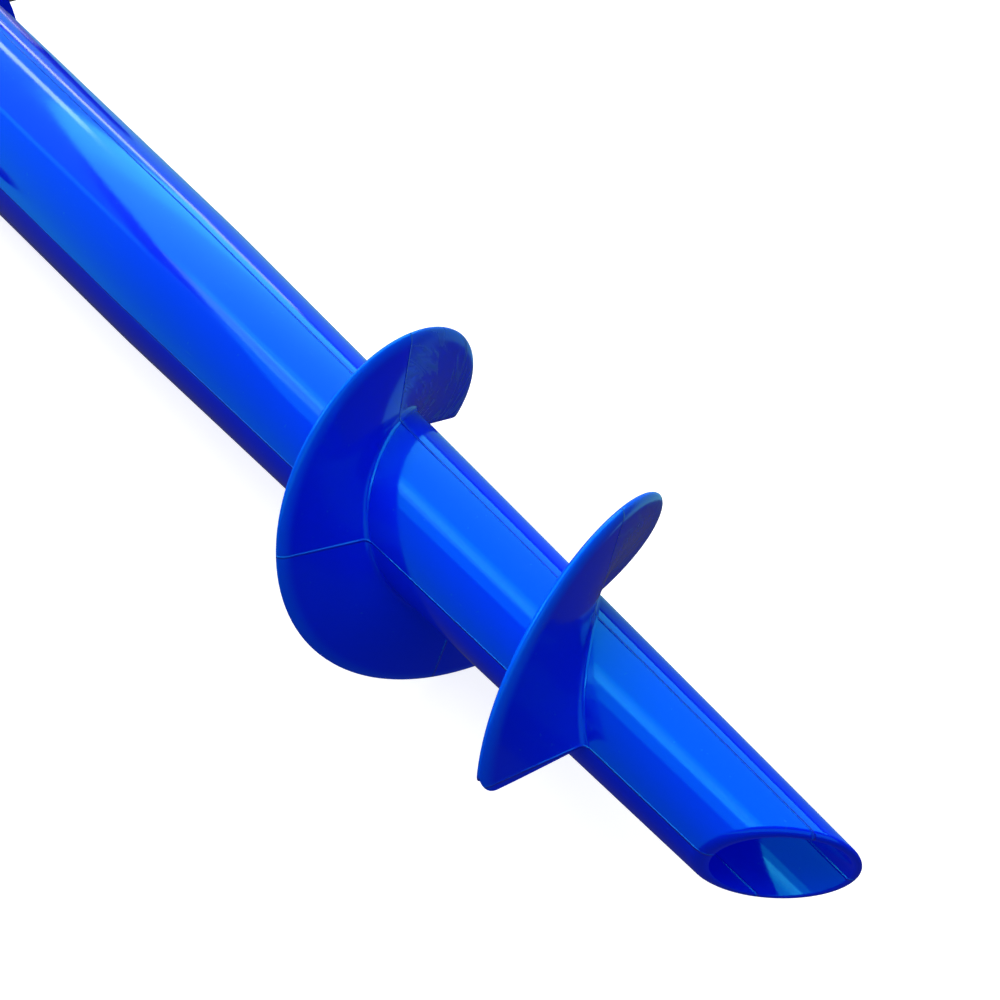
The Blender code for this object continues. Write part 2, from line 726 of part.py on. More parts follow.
def make_spindle():
    """The steel shaft, its retaining ring, its rain skirt and the O-rings that grip the pole."""
    foot = CARTRIDGE_BASE + GAP
    ring_top = LOWER_BEARING - GAP
    ring_base = ring_top - RING_THICKNESS
    groove_radius = SHAFT_RADIUS - 0.0008
    seat = groove_radius + GAP
    profile = [
        (0.0, PIN_END),
        (SHAFT_RADIUS * 0.6, PIN_END),
        (SHAFT_RADIUS, PIN_END - SHAFT_RADIUS),
    ]
    for place in sorted(O_RING_PLACES, reverse=True):
        height = o_ring_height(place)
        sink = SHAFT_RADIUS - O_RING_RADIUS
        profile += [(SHAFT_RADIUS, height + O_RING_RADIUS + GAP),
                    (sink, height + O_RING_RADIUS + GAP),
                    (sink, height - O_RING_RADIUS - GAP),
                    (SHAFT_RADIUS, height - O_RING_RADIUS - GAP)]
    profile += [
        (SHAFT_RADIUS, SKIRT_TOP),
        (SHOULDER_RADIUS, SKIRT_TOP),
        (SHOULDER_RADIUS, BEARING_TOP + GAP),
        (SHAFT_RADIUS, BEARING_TOP + GAP),
        (SHAFT_RADIUS, ring_top + GAP / 3),
        (groove_radius, ring_top + GAP / 3),
        (groove_radius, ring_base - GAP / 3),
        (SHAFT_RADIUS, ring_base - GAP / 3),
        (SHAFT_RADIUS, foot),
        (0.0, foot),
    ]
    turned("spindle_shaft", profile, STEEL)
    clip = ring("retaining_ring", seat, SHAFT_RADIUS + RING_REACH, ring_base, ring_top, STEEL,
                sides=24)
    opening = block("clip_opening", (0, -groove_radius / 2, ring_base - CUT_MARGIN),
                    (2 * SHAFT_RADIUS, groove_radius / 2, ring_top + CUT_MARGIN), None)
    boolean(clip, opening)
    turned(
        "rain_skirt",
        [
            (SHOULDER_RADIUS + GAP, SKIRT_TOP),
            (SKIRT_RADIUS - SKIRT_WALL / 2, SKIRT_TOP),
            (SKIRT_RADIUS, SKIRT_TOP - SKIRT_WALL / 2),
            (SKIRT_RADIUS, SKIRT_LIP_BASE),
            (SKIRT_RADIUS - SKIRT_WALL, SKIRT_LIP_BASE),
            (SKIRT_RADIUS - SKIRT_WALL, SKIRT_PLATE_BASE),
            (SHOULDER_RADIUS + GAP, SKIRT_PLATE_BASE),
        ],
        BLACK, closed=True,
    )
    for name, place in zip(("o_ring_lower", "o_ring_upper"), O_RING_PLACES):
        make_o_ring(name, o_ring_height(place))


def make_o_ring(name, height):
    """A round rubber ring that stands proud of its groove."""
    bm = bmesh.new()
    centre = SHAFT_RADIUS + GAP
    start = [bm.verts.new((centre + O_RING_RADIUS * math.cos(a), 0.0,
                           O_RING_RADIUS * math.sin(a)))
             for a in (2 * math.pi * i / 8 for i in range(8))]
    edges = [bm.edges.new((start[i], start[(i + 1) % 8])) for i in range(8)]
    bmesh.ops.spin(bm, geom=start + edges, cent=(0, 0, 0), axis=(0, 0, 1), angle=2 * math.pi,
                   steps=ROUND_SIDES, use_merge=True, use_duplicate=False)
    add_object(name, mesh_from(bm, name), RUBBER, location=(0, 0, height))


# ---- fasteners and bung -------------------------------------------------------------------
def make_hub_screws():
    """Radial screws that hold the hub on the tube's mouth."""
    seat = COLLAR_RADIUS + GAP
    tip = bore_radius(HUB_SCREW_HEIGHT) + GAP
    for number in range(SCREWS):
        turned(
            f"hub_screw_{number + 1}",
            [
                (0.0, seat + HUB_SCREW_HEAD),
                (HUB_SCREW_HEAD_RADIUS * 0.7, seat + HUB_SCREW_HEAD),
                (HUB_SCREW_HEAD_RADIUS, seat + HUB_SCREW_HEAD * 0.4),
                (HUB_SCREW_HEAD_RADIUS, seat),
                (HUB_SCREW_RADIUS, seat),
                (HUB_SCREW_RADIUS, tip),
                (0.0, tip),
            ],
            STEEL, sides=SMALL_SIDES, location=(0, 0, HUB_SCREW_HEIGHT),
            rotation=outward(hub_screw_angle(number)),
        )


def make_lid_screws():
    """Screws through cover and flange into the hub."""
    for number in range(SCREWS):
        turned(
            f"lid_screw_{number + 1}",
            [
                (0.0, LID_HEAD_BASE + LID_SCREW_HEAD),
                (LID_SCREW_HEAD_RADIUS * 0.7, LID_HEAD_BASE + LID_SCREW_HEAD),
                (LID_SCREW_HEAD_RADIUS, LID_HEAD_BASE + LID_SCREW_HEAD * 0.4),
                (LID_SCREW_HEAD_RADIUS, LID_HEAD_BASE),
                (LID_SCREW_RADIUS, LID_HEAD_BASE),
                (LID_SCREW_RADIUS, HUB_TOP - LID_SCREW_LENGTH + GAP),
                (0.0, HUB_TOP - LID_SCREW_LENGTH + GAP),
            ],
            STEEL, sides=SMALL_SIDES, location=lid_screw_place(number),
        )


def make_sand_bung():
    """The plug in the tube's mouth that keeps sand out of the hub."""
    top = TUBE_LENGTH - GAP
    base = top - BUNG_LENGTH
    flange_radius = bore_radius(base) - GAP
    turned(
        "sand_bung",
        [
            (0.0, top),
            (flange_radius, top),
            (flange_radius, base),
            (flange_radius - MOUTH_WALL, base),
            (flange_radius - MOUTH_WALL, top - MOUTH_WALL),
            (0.0, top - MOUTH_WALL),
        ],
        BLACK,
    )


make_auger_body()
make_head_hub()
make_handle()
make_clamp()
make_bearing("lower", LOWER_BEARING)
make_bearing("upper", UPPER_BEARING)
make_spacers()
make_cartridge()
make_spindle()
make_hub_screws()
make_lid_screws()
make_sand_bung()
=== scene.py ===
"""Looks for the screw-in ground anchor of a teardrop flag.

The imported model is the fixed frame. Each class below is one sub-assembly of the anchor: it holds its
sizes, reads from the frame where its nodes lie, models its pieces round the anchor's own axis (+Z from
the tip to the spindle, z = 0 at the tip), dresses them and lets them ride on their bodies.
"""

import json
import logging
import math
from dataclasses import dataclass, field
from enum import Enum
from typing import Callable, Iterable, Sequence, Union

import bmesh
import bpy
from mathutils import Matrix, Vector

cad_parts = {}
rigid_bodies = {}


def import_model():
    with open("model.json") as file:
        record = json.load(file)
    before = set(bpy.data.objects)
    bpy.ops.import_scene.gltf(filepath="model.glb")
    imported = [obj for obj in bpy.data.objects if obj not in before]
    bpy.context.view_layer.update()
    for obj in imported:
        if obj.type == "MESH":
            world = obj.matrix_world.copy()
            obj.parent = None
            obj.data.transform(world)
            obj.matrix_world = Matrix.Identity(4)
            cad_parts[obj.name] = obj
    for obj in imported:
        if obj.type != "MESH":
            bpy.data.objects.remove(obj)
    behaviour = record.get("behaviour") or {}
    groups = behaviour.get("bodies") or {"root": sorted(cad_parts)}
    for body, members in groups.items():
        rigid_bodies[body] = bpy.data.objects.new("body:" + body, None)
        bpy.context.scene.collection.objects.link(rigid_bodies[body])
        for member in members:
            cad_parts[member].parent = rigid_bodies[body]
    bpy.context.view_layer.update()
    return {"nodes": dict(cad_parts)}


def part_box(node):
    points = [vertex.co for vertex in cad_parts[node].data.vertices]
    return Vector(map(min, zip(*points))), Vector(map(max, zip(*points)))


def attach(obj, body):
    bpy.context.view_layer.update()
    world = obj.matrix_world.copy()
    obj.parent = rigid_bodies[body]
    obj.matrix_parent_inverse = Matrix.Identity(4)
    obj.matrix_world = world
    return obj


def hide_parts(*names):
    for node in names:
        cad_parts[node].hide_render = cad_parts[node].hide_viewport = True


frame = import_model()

LOG = logging.getLogger("ground_anchor")
MILLIMETRE = 0.001
Point = tuple[float, float]
Colour = tuple[float, float, float, float]


# ---- shader wiring --------------------------------------------------------------------------
class Wire:
    """One output of a shader node, on which Python's own operators add Math nodes."""

    def __init__(self, desk: "NodeDesk", socket: bpy.types.NodeSocket) -> None:
        """Keeps the output together with the desk that it belongs to."""
        self.desk = desk
        self.socket = socket

    def maths(self, operation: str, *values: "Number", clamp: bool = False) -> "Wire":
        """Adds one Math node.

        Args:
            operation: the Math node's operation.
            values: its inputs in order.
            clamp: keeps the result from 0 to 1.

        Returns:
            The node's output.
        """
        settings = {"operation": operation, "use_clamp": clamp}
        return self.desk.node("ShaderNodeMath", settings, dict(enumerate(values)))

    def __add__(self, other: "Number") -> "Wire":
        """self + other."""
        return self.maths("ADD", self, other)

    def __radd__(self, other: "Number") -> "Wire":
        """other + self."""
        return self.maths("ADD", other, self)

    def __sub__(self, other: "Number") -> "Wire":
        """self - other."""
        return self.maths("SUBTRACT", self, other)

    def __rsub__(self, other: "Number") -> "Wire":
        """other - self."""
        return self.maths("SUBTRACT", other, self)

    def __mul__(self, other: "Number") -> "Wire":
        """self * other."""
        return self.maths("MULTIPLY", self, other)

    def __rmul__(self, other: "Number") -> "Wire":
        """other * self."""
        return self.maths("MULTIPLY", other, self)

    def __truediv__(self, other: "Number") -> "Wire":
        """self / other."""
        return self.maths("DIVIDE", self, other)

    def __rtruediv__(self, other: "Number") -> "Wire":
        """other / self."""
        return self.maths("DIVIDE", other, self)

    def __pow__(self, other: "Number") -> "Wire":
        """self to the power of other."""
        return self.maths("POWER", self, other)

    def __rpow__(self, other: "Number") -> "Wire":
        """other to the power of self."""
        return self.maths("POWER", other, self)

    def __gt__(self, other: "Number") -> "Wire":
        """1 where self is above other, else 0."""
        return self.maths("GREATER_THAN", self, other)

    def __lt__(self, other: "Number") -> "Wire":
        """1 where self is below other, else 0, which is also how other > self is worked out."""
        return self.maths("LESS_THAN", self, other)

    def __abs__(self) -> "Wire":
        """The size of self without its sign."""
        return self.maths("ABSOLUTE", self)

    def clamped(self) -> "Wire":
        """self kept from 0 to 1."""
        return self.maths("ADD", self, 0.0, clamp=True)

    def most(self, other: "Number") -> "Wire":
        """The larger of self and other."""
        return self.maths("MAXIMUM", self, other)

    def rise(self, low: float, high: float) -> "Wire":
        """A smooth step of self.

        Args:
            low: where the step is still 0.
            high: where it has reached 1.

        Returns:
            The step, from 0 to 1.
        """
        settings = {"interpolation_type": "SMOOTHSTEP"}
        inputs = {"Value": self, "From Min": low, "From Max": high}
        return self.desk.node("ShaderNodeMapRange", settings, inputs)


Number = Union[Wire, float]


class NodeDesk:
    """The node tree of one material or of the world, filled through one method."""

    def __init__(self, owner: Union[bpy.types.Material, bpy.types.World],
                 shader: str = "Principled BSDF") -> None:
        """Takes over a new material or world.

        Args:
            owner: the material or world.
            shader: the name of the shader node that it starts with.
        """
        owner.use_nodes = True
        self.tree = owner.node_tree
        self.shader = self.tree.nodes[shader]

    @classmethod
    def material(cls, name: str) -> tuple["NodeDesk", bpy.types.Material]:
        """Starts a material.

        Args:
            name: the material's name.

        Returns:
            Its desk and the material itself.
        """
        made = bpy.data.materials.new(name)
        return cls(made), made

    @staticmethod
    def pick(sockets: bpy.types.bpy_prop_collection, key: Union[int, str]) -> bpy.types.NodeSocket:
        """Finds a socket.

        Args:
            sockets: a node's inputs or outputs.
            key: its place, its identifier or its name.

        Returns:
            The socket.
        """
        if isinstance(key, int):
            return sockets[key]
        by_identifier = [s for s in sockets if s.identifier == key]
        return by_identifier[0] if by_identifier else sockets[key]

    def node(self, kind: str, settings: dict | None = None, inputs: dict | None = None,
             output: Union[int, str] = 0) -> Wire:
        """Adds one node.

        Args:
            kind: the node's type.
            settings: its own settings, made before its sockets are used.
            inputs: values or wires for its sockets.
            output: which output is handed back.

        Returns:
            That output.
        """
        made = self.tree.nodes.new(kind)
        for key, value in (settings or {}).items():
            setattr(made, key, value)
        for key, value in (inputs or {}).items():
            self.plug(self.pick(made.inputs, key), value)
        return Wire(self, self.pick(made.outputs, output))

    def plug(self, socket: bpy.types.NodeSocket, value: object) -> None:
        """Links a wire to a socket, or sets the socket's value.

        Args:
            socket: the socket.
            value: a wire, or what the socket is set to.
        """
        if isinstance(value, Wire):
            self.tree.links.new(value.socket, socket)
        else:
            socket.default_value = value

    def set_shader(self, **inputs: object) -> None:
        """Sets or links the shader's sockets, named with _ for a space."""
        for key, value in inputs.items():
            self.plug(self.shader.inputs[key.replace("_", " ")], value)

    def axes(self) -> tuple[Wire, Wire, Wire]:
        """Reads the object's own coordinates.

        Returns:
            X, Y and Z in metres.
        """
        where = self.node("ShaderNodeTexCoord", output="Object")
        split = self.node("ShaderNodeSeparateXYZ", inputs={0: where}).socket.node
        return tuple(Wire(self, s) for s in split.outputs)

    def place(self, x: Number, y: Number, z: Number) -> Wire:
        """Three numbers as one vector."""
        return self.node("ShaderNodeCombineXYZ", inputs={0: x, 1: y, 2: z})

    def attribute(self, name: str) -> Wire:
        """A number that is kept on the mesh."""
        return self.node("ShaderNodeAttribute", {"attribute_name": name}, output="Fac")

    def noise(self, where: Wire, scale: float, detail: float = 2.0, distortion: float = 0.0) -> Wire:
        """Soft noise.

        Args:
            where: the place it is read at.
            scale: patches in a metre.
            detail: how many finer layers lie on it.
            distortion: how much it swirls.

        Returns:
            The noise, about 0.5 on average.
        """
        inputs = {"Vector": where, "Scale": scale, "Detail": detail, "Distortion": distortion}
        return self.node("ShaderNodeTexNoise", inputs=inputs)

    def blend(self, share: Number, first: object, second: object) -> Wire:
        """Mixes two colours.

        Args:
            share: how much of the second shows.
            first: a colour or a wire.
            second: a colour or a wire.

        Returns:
            The mixed colour.
        """
        inputs = {"Factor_Float": share, "A_Color": first, "B_Color": second}
        return self.node("ShaderNodeMix", {"data_type": "RGBA"}, inputs, "Result_Color")

    def bump(self, height: Wire) -> Wire:
        """The normal of a surface raised by a height in metres."""
        return self.node("ShaderNodeBump", inputs={"Height": height, "Distance": 1.0})


# ---- finishes -------------------------------------------------------------------------------
class Coat(Enum):
    """The finishes that the anchor's pieces wear: each one's material, and the record's slot for it."""

    TUBE_BLUE = ("moulded_blue_tube", "moulded_blue")
    HUB_BLUE = ("moulded_blue_hub", "moulded_blue")
    BLACK = ("satin_black", "moulded_black")
    RUBBER = ("grip_rubber", "grip_rubber")
    TURNED_STEEL = ("turned_steel", "plated_steel")
    DRAWN_STEEL = ("drawn_steel", "plated_steel")
    BRASS = ("turned_brass", "turned_brass")

    @property
    def material(self) -> str:
        """The name of its material."""
        return self.value[0]

    @property
    def slot(self) -> str:
        """The record's material slot."""
        return self.value[1]


@dataclass(frozen=True)
class MouldedBlue:
    """Glossy blue moulded plastic, with the mould's parting ridges, soft sinks and light wear, and painted
    light: a painted highlight along the flight's rim, a painted glow in the bore, a painted sheen over scuffs
    on part of the flight and painted highlights on the ridges.
    """

    name: str
    axis_height: float
    parting_ridges: bool = True
    colour: Colour = (0.0002, 0.016, 0.850, 1.0)
    painted_rim_highlight: Colour = (0.0005, 0.095, 1.0, 1.0)
    wear_and_sheen_colour: Colour = (0.040, 0.170, 0.600, 1.0)
    painted_bore_glow: Colour = (0.0, 0.0006, 0.070, 1.0)
    ridge_angle: float = math.radians(18)
    ridge_half_width: float = 0.38 * MILLIMETRE
    ridge_height: float = 0.32 * MILLIMETRE
    sink_depth: float = 0.42 * MILLIMETRE

    def ridge(self, across: Wire) -> Wire:
        """A rounded ridge where a distance passes through zero."""
        near = (1.0 - abs(across) / self.ridge_half_width).most(0.0)
        return near * near * (3.0 - 2.0 * near)

    def make(self) -> bpy.types.Material:
        """Builds the material.

        Returns:
            The finished material.
        """
        desk, material = NodeDesk.material(self.name)
        x, y, z = desk.axes()
        lift = z - self.axis_height
        sine, cosine = math.sin(self.ridge_angle), math.cos(self.ridge_angle)
        first, second = y * cosine - lift * sine, y * sine + lift * cosine
        here = desk.place(x, y, z)
        stretched = desk.place(x * 0.35, y, z)
        sinks = desk.noise(stretched, 22.0, 1.0) * self.sink_depth
        peel = desk.noise(here, 300.0, 1.0) * (0.006 * MILLIMETRE)
        hair = desk.noise(desk.place(x * 40.0, y * 900.0, z * 900.0), 1.0, 3.0)
        scratches = hair.rise(0.68, 0.78)
        specks = desk.noise(here, 700.0, 1.0).rise(0.74, 0.80)
        height = sinks + peel - scratches * (0.006 * MILLIMETRE)
        # painted highlight: the flight's outer rim, marked by the rim attribute, is coloured a lighter blue in
        # place of light shining through the thin rim
        rim = desk.attribute("rim")
        cloud = desk.noise(stretched, 16.0, 3.0)
        colour = desk.blend(rim * 0.9, self.colour, self.painted_rim_highlight)
        deep = tuple(c * 0.86 for c in self.colour[:3]) + (1.0,)
        colour = desk.blend(cloud.rise(0.45, 0.75) * 0.5, colour, deep)
        wear_and_sheen = scratches * 0.06 + specks * 0.12
        # painted glow: the bore's inner wall, marked by the inside attribute, emits a faint blue light, a
        # painted light in place of light shining through the wall
        glow = desk.blend(desk.attribute("inside"), (0.0, 0.0, 0.0, 1.0), self.painted_bore_glow)
        desk.set_shader(Emission_Color=glow, Emission_Strength=1.0)
        if self.parting_ridges:
            lines = self.ridge(first).most(self.ridge(second))
            height = height + lines * self.ridge_height
            out = (y * y + lift * lift) ** 0.5
            turn = first.maths("ARCTAN2", first, second)
            swirl = desk.noise(desk.place(out * 260.0 + turn * 3.0, turn * 2.2, x * 20.0), 1.0, 4.0, 1.4)
            # painted sheen with scuffs: the flight's tip-facing faces in the quarter between the parting planes
            # that faces up and towards +Y, where the window lights hang, are lightened all over, with swirled
            # scuff marks on top
            scuff_and_sheen_mask = desk.attribute("tip_side") * (first > 0.0) * (second > 0.0)
            scuff_and_sheen = scuff_and_sheen_mask * (0.22 + swirl.rise(0.45, 0.80) * 0.9)
            # the parting ridges are also coloured lighter, a painted highlight along them
            wear_and_sheen = wear_and_sheen + scuff_and_sheen * 0.85 + lines * 0.10
            height = height + scuff_and_sheen * (0.05 * MILLIMETRE)
        # this mix carries real scratches and specks together with the painted sheen and the painted ridge
        # highlights
        colour = desk.blend(wear_and_sheen.clamped(), colour, self.wear_and_sheen_colour)
        patches = desk.noise(here, 55.0, 4.0)
        roughness = (0.045 + patches * 0.09 + wear_and_sheen * 0.5).clamped()
        desk.set_shader(Base_Color=colour, Roughness=roughness, Normal=desk.bump(height),
                        Specular_Tint=(0.07, 0.90, 1.0, 1.0))
        return material


@dataclass(frozen=True)
class SatinBlack:
    """Black glass-filled nylon with a fine spark-eroded grain."""

    name: str
    colour: Colour = (0.020, 0.021, 0.024, 1.0)
    dust: Colour = (0.075, 0.076, 0.080, 1.0)

    def make(self) -> bpy.types.Material:
        """Builds the material.

        Returns:
            The finished material.
        """
        desk, material = NodeDesk.material(self.name)
        here = desk.place(*desk.axes())
        grain = desk.noise(here, 2600.0, 2.0)
        cloud = desk.noise(here, 60.0, 3.0)
        colour = desk.blend(grain.rise(0.5, 0.9) * 0.3 + cloud.rise(0.55, 0.85) * 0.25, self.colour, self.dust)
        roughness = 0.36 + cloud * 0.14
        height = grain * (0.035 * MILLIMETRE) + cloud * (0.05 * MILLIMETRE)
        desk.set_shader(Base_Color=colour, Roughness=roughness, Normal=desk.bump(height))
        return material


@dataclass(frozen=True)
class GripRubber:
    """Soft black rubber, dull, with a fine tooth and pale handling marks."""

    name: str
    colour: Colour = (0.013, 0.013, 0.014, 1.0)
    bloom: Colour = (0.060, 0.060, 0.062, 1.0)

    def make(self) -> bpy.types.Material:
        """Builds the material.

        Returns:
            The finished material.
        """
        desk, material = NodeDesk.material(self.name)
        here = desk.place(*desk.axes())
        tooth = desk.noise(here, 3400.0, 2.0)
        marks = desk.noise(here, 120.0, 4.0, 0.6)
        colour = desk.blend(marks.rise(0.5, 0.8) * 0.5, self.colour, self.bloom)
        roughness = 0.62 + marks * 0.24
        height = tooth * (0.05 * MILLIMETRE) + marks * (0.04 * MILLIMETRE)
        desk.set_shader(Base_Color=colour, Roughness=roughness, Normal=desk.bump(height))
        return material


@dataclass(frozen=True)
class BrightMetal:
    """Machined or drawn metal, whose fine lines run across the way that its grain is squeezed."""

    name: str
    grain: tuple[float, float, float]
    colour: Colour
    stain: Colour
    roughness: float = 0.22
    line_depth: float = 0.004 * MILLIMETRE

    def make(self) -> bpy.types.Material:
        """Builds the material.

        Returns:
            The finished material.
        """
        desk, material = NodeDesk.material(self.name)
        x, y, z = desk.axes()
        across, along, beside = self.grain
        lines = desk.noise(desk.place(x * across, y * along, z * beside), 1.0, 3.0)
        here = desk.place(x, y, z)
        cloud = desk.noise(here, 90.0, 4.0)
        spots = desk.noise(here, 800.0, 2.0).rise(0.70, 0.80)
        colour = desk.blend((cloud.rise(0.5, 0.85) * 0.35 + spots * 0.4).clamped(), self.colour, self.stain)
        roughness = self.roughness + lines * 0.16 + spots * 0.2
        height = lines * self.line_depth
        desk.set_shader(Base_Color=colour, Roughness=roughness, Metallic=1.0, Normal=desk.bump(height))
        return material


@dataclass(frozen=True)
class PaleFloor:
    """A plain pale studio floor with a barely uneven coat."""

    name: str
    colour: Colour = (0.480, 0.482, 0.486, 1.0)
    shade: Colour = (0.460, 0.462, 0.468, 1.0)
    glow: float = 1.75

    def make(self) -> bpy.types.Material:
        """Builds the material.

        Returns:
            The finished material.
        """
        desk, material = NodeDesk.material(self.name)
        here = desk.place(*desk.axes())
        cloud = desk.noise(here, 3.0, 3.0)
        desk.set_shader(Base_Color=desk.blend(cloud, self.colour, self.shade), Roughness=0.9,
                        Specular_IOR_Level=0.0, Emission_Color=self.colour, Emission_Strength=self.glow)
        return material


def make_coats(axis_height: float) -> dict[Coat, bpy.types.Material]:
    """Builds every finish of the anchor.

    Args:
        axis_height: how high the anchor's axis lies over the floor.

    Returns:
        The material of each coat.
    """
    steel, stain = (0.60, 0.61, 0.62, 1.0), (0.33, 0.32, 0.31, 1.0)
    brass, tarnish = (0.76, 0.56, 0.24, 1.0), (0.42, 0.28, 0.12, 1.0)
    finishes = {
        Coat.TUBE_BLUE: MouldedBlue(Coat.TUBE_BLUE.material, axis_height),
        Coat.HUB_BLUE: MouldedBlue(Coat.HUB_BLUE.material, axis_height, parting_ridges=False),
        Coat.BLACK: SatinBlack(Coat.BLACK.material),
        Coat.RUBBER: GripRubber(Coat.RUBBER.material),
        Coat.TURNED_STEEL: BrightMetal(Coat.TURNED_STEEL.material, (5200.0, 30.0, 30.0), steel, stain),
        Coat.DRAWN_STEEL: BrightMetal(Coat.DRAWN_STEEL.material, (2200.0, 25.0, 2200.0), steel, stain, 0.20,
                                      0.0012 * MILLIMETRE),
        Coat.BRASS: BrightMetal(Coat.BRASS.material, (2400.0, 300.0, 300.0), brass, tarnish, 0.26),
    }
    return {coat: finish.make() for coat, finish in finishes.items()}


# ---- places ---------------------------------------------------------------------------------
def limit(value: float) -> float:
    """A number kept from 0 to 1."""
    return min(1.0, max(0.0, value))


class Facing(Enum):
    """Where a piece's own +Z points, seen in the anchor's axes."""

    SPINDLE = "spindle"
    LEFT = "left"
    RIGHT = "right"
    OUT = "out"


@dataclass(frozen=True)
class Seat:
    """Where a piece's own axes stand in the anchor's axes."""

    height: float = 0.0
    facing: Facing = Facing.SPINDLE
    angle: float = 0.0
    reach: float = 0.0

    def matrix(self) -> Matrix:
        """Works out the seat.

        Returns:
            The matrix from the piece's axes to the anchor's.
        """
        turn = {
            Facing.SPINDLE: Matrix.Identity(4),
            Facing.LEFT: Matrix.Rotation(-math.pi / 2, 4, "X"),
            Facing.RIGHT: Matrix.Rotation(math.pi / 2, 4, "X"),
            Facing.OUT: Matrix.Rotation(math.pi / 2, 4, "Y"),
        }[self.facing]
        around = Matrix.Rotation(self.angle, 4, "Z")
        return Matrix.Translation((0, 0, self.height)) @ around @ Matrix.Translation((self.reach, 0, 0)) @ turn


@dataclass(frozen=True)
class AnchorAxis:
    """The anchor's own axis in the shared frame."""

    tip_x: float
    height: float

    @classmethod
    def from_frame(cls) -> "AnchorAxis":
        """Reads the axis from the tube's tip and the spindle's box."""
        low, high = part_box("spindle_shaft")
        return cls(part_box("auger_body")[1].x, (low.z + high.z) / 2)

    def matrix(self) -> Matrix:
        """The matrix from the anchor's axes to the shared frame."""
        return Matrix.Translation((self.tip_x, 0, self.height)) @ Matrix.Rotation(-math.pi / 2, 4, "Y")

    def span(self, node: str) -> tuple[float, float]:
        """Finds a node along the axis.

        Args:
            node: the CAD node's name.

        Returns:
            Its lowest and highest place above the tip.
        """
        low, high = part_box(node)
        return self.tip_x - high.x, self.tip_x - low.x


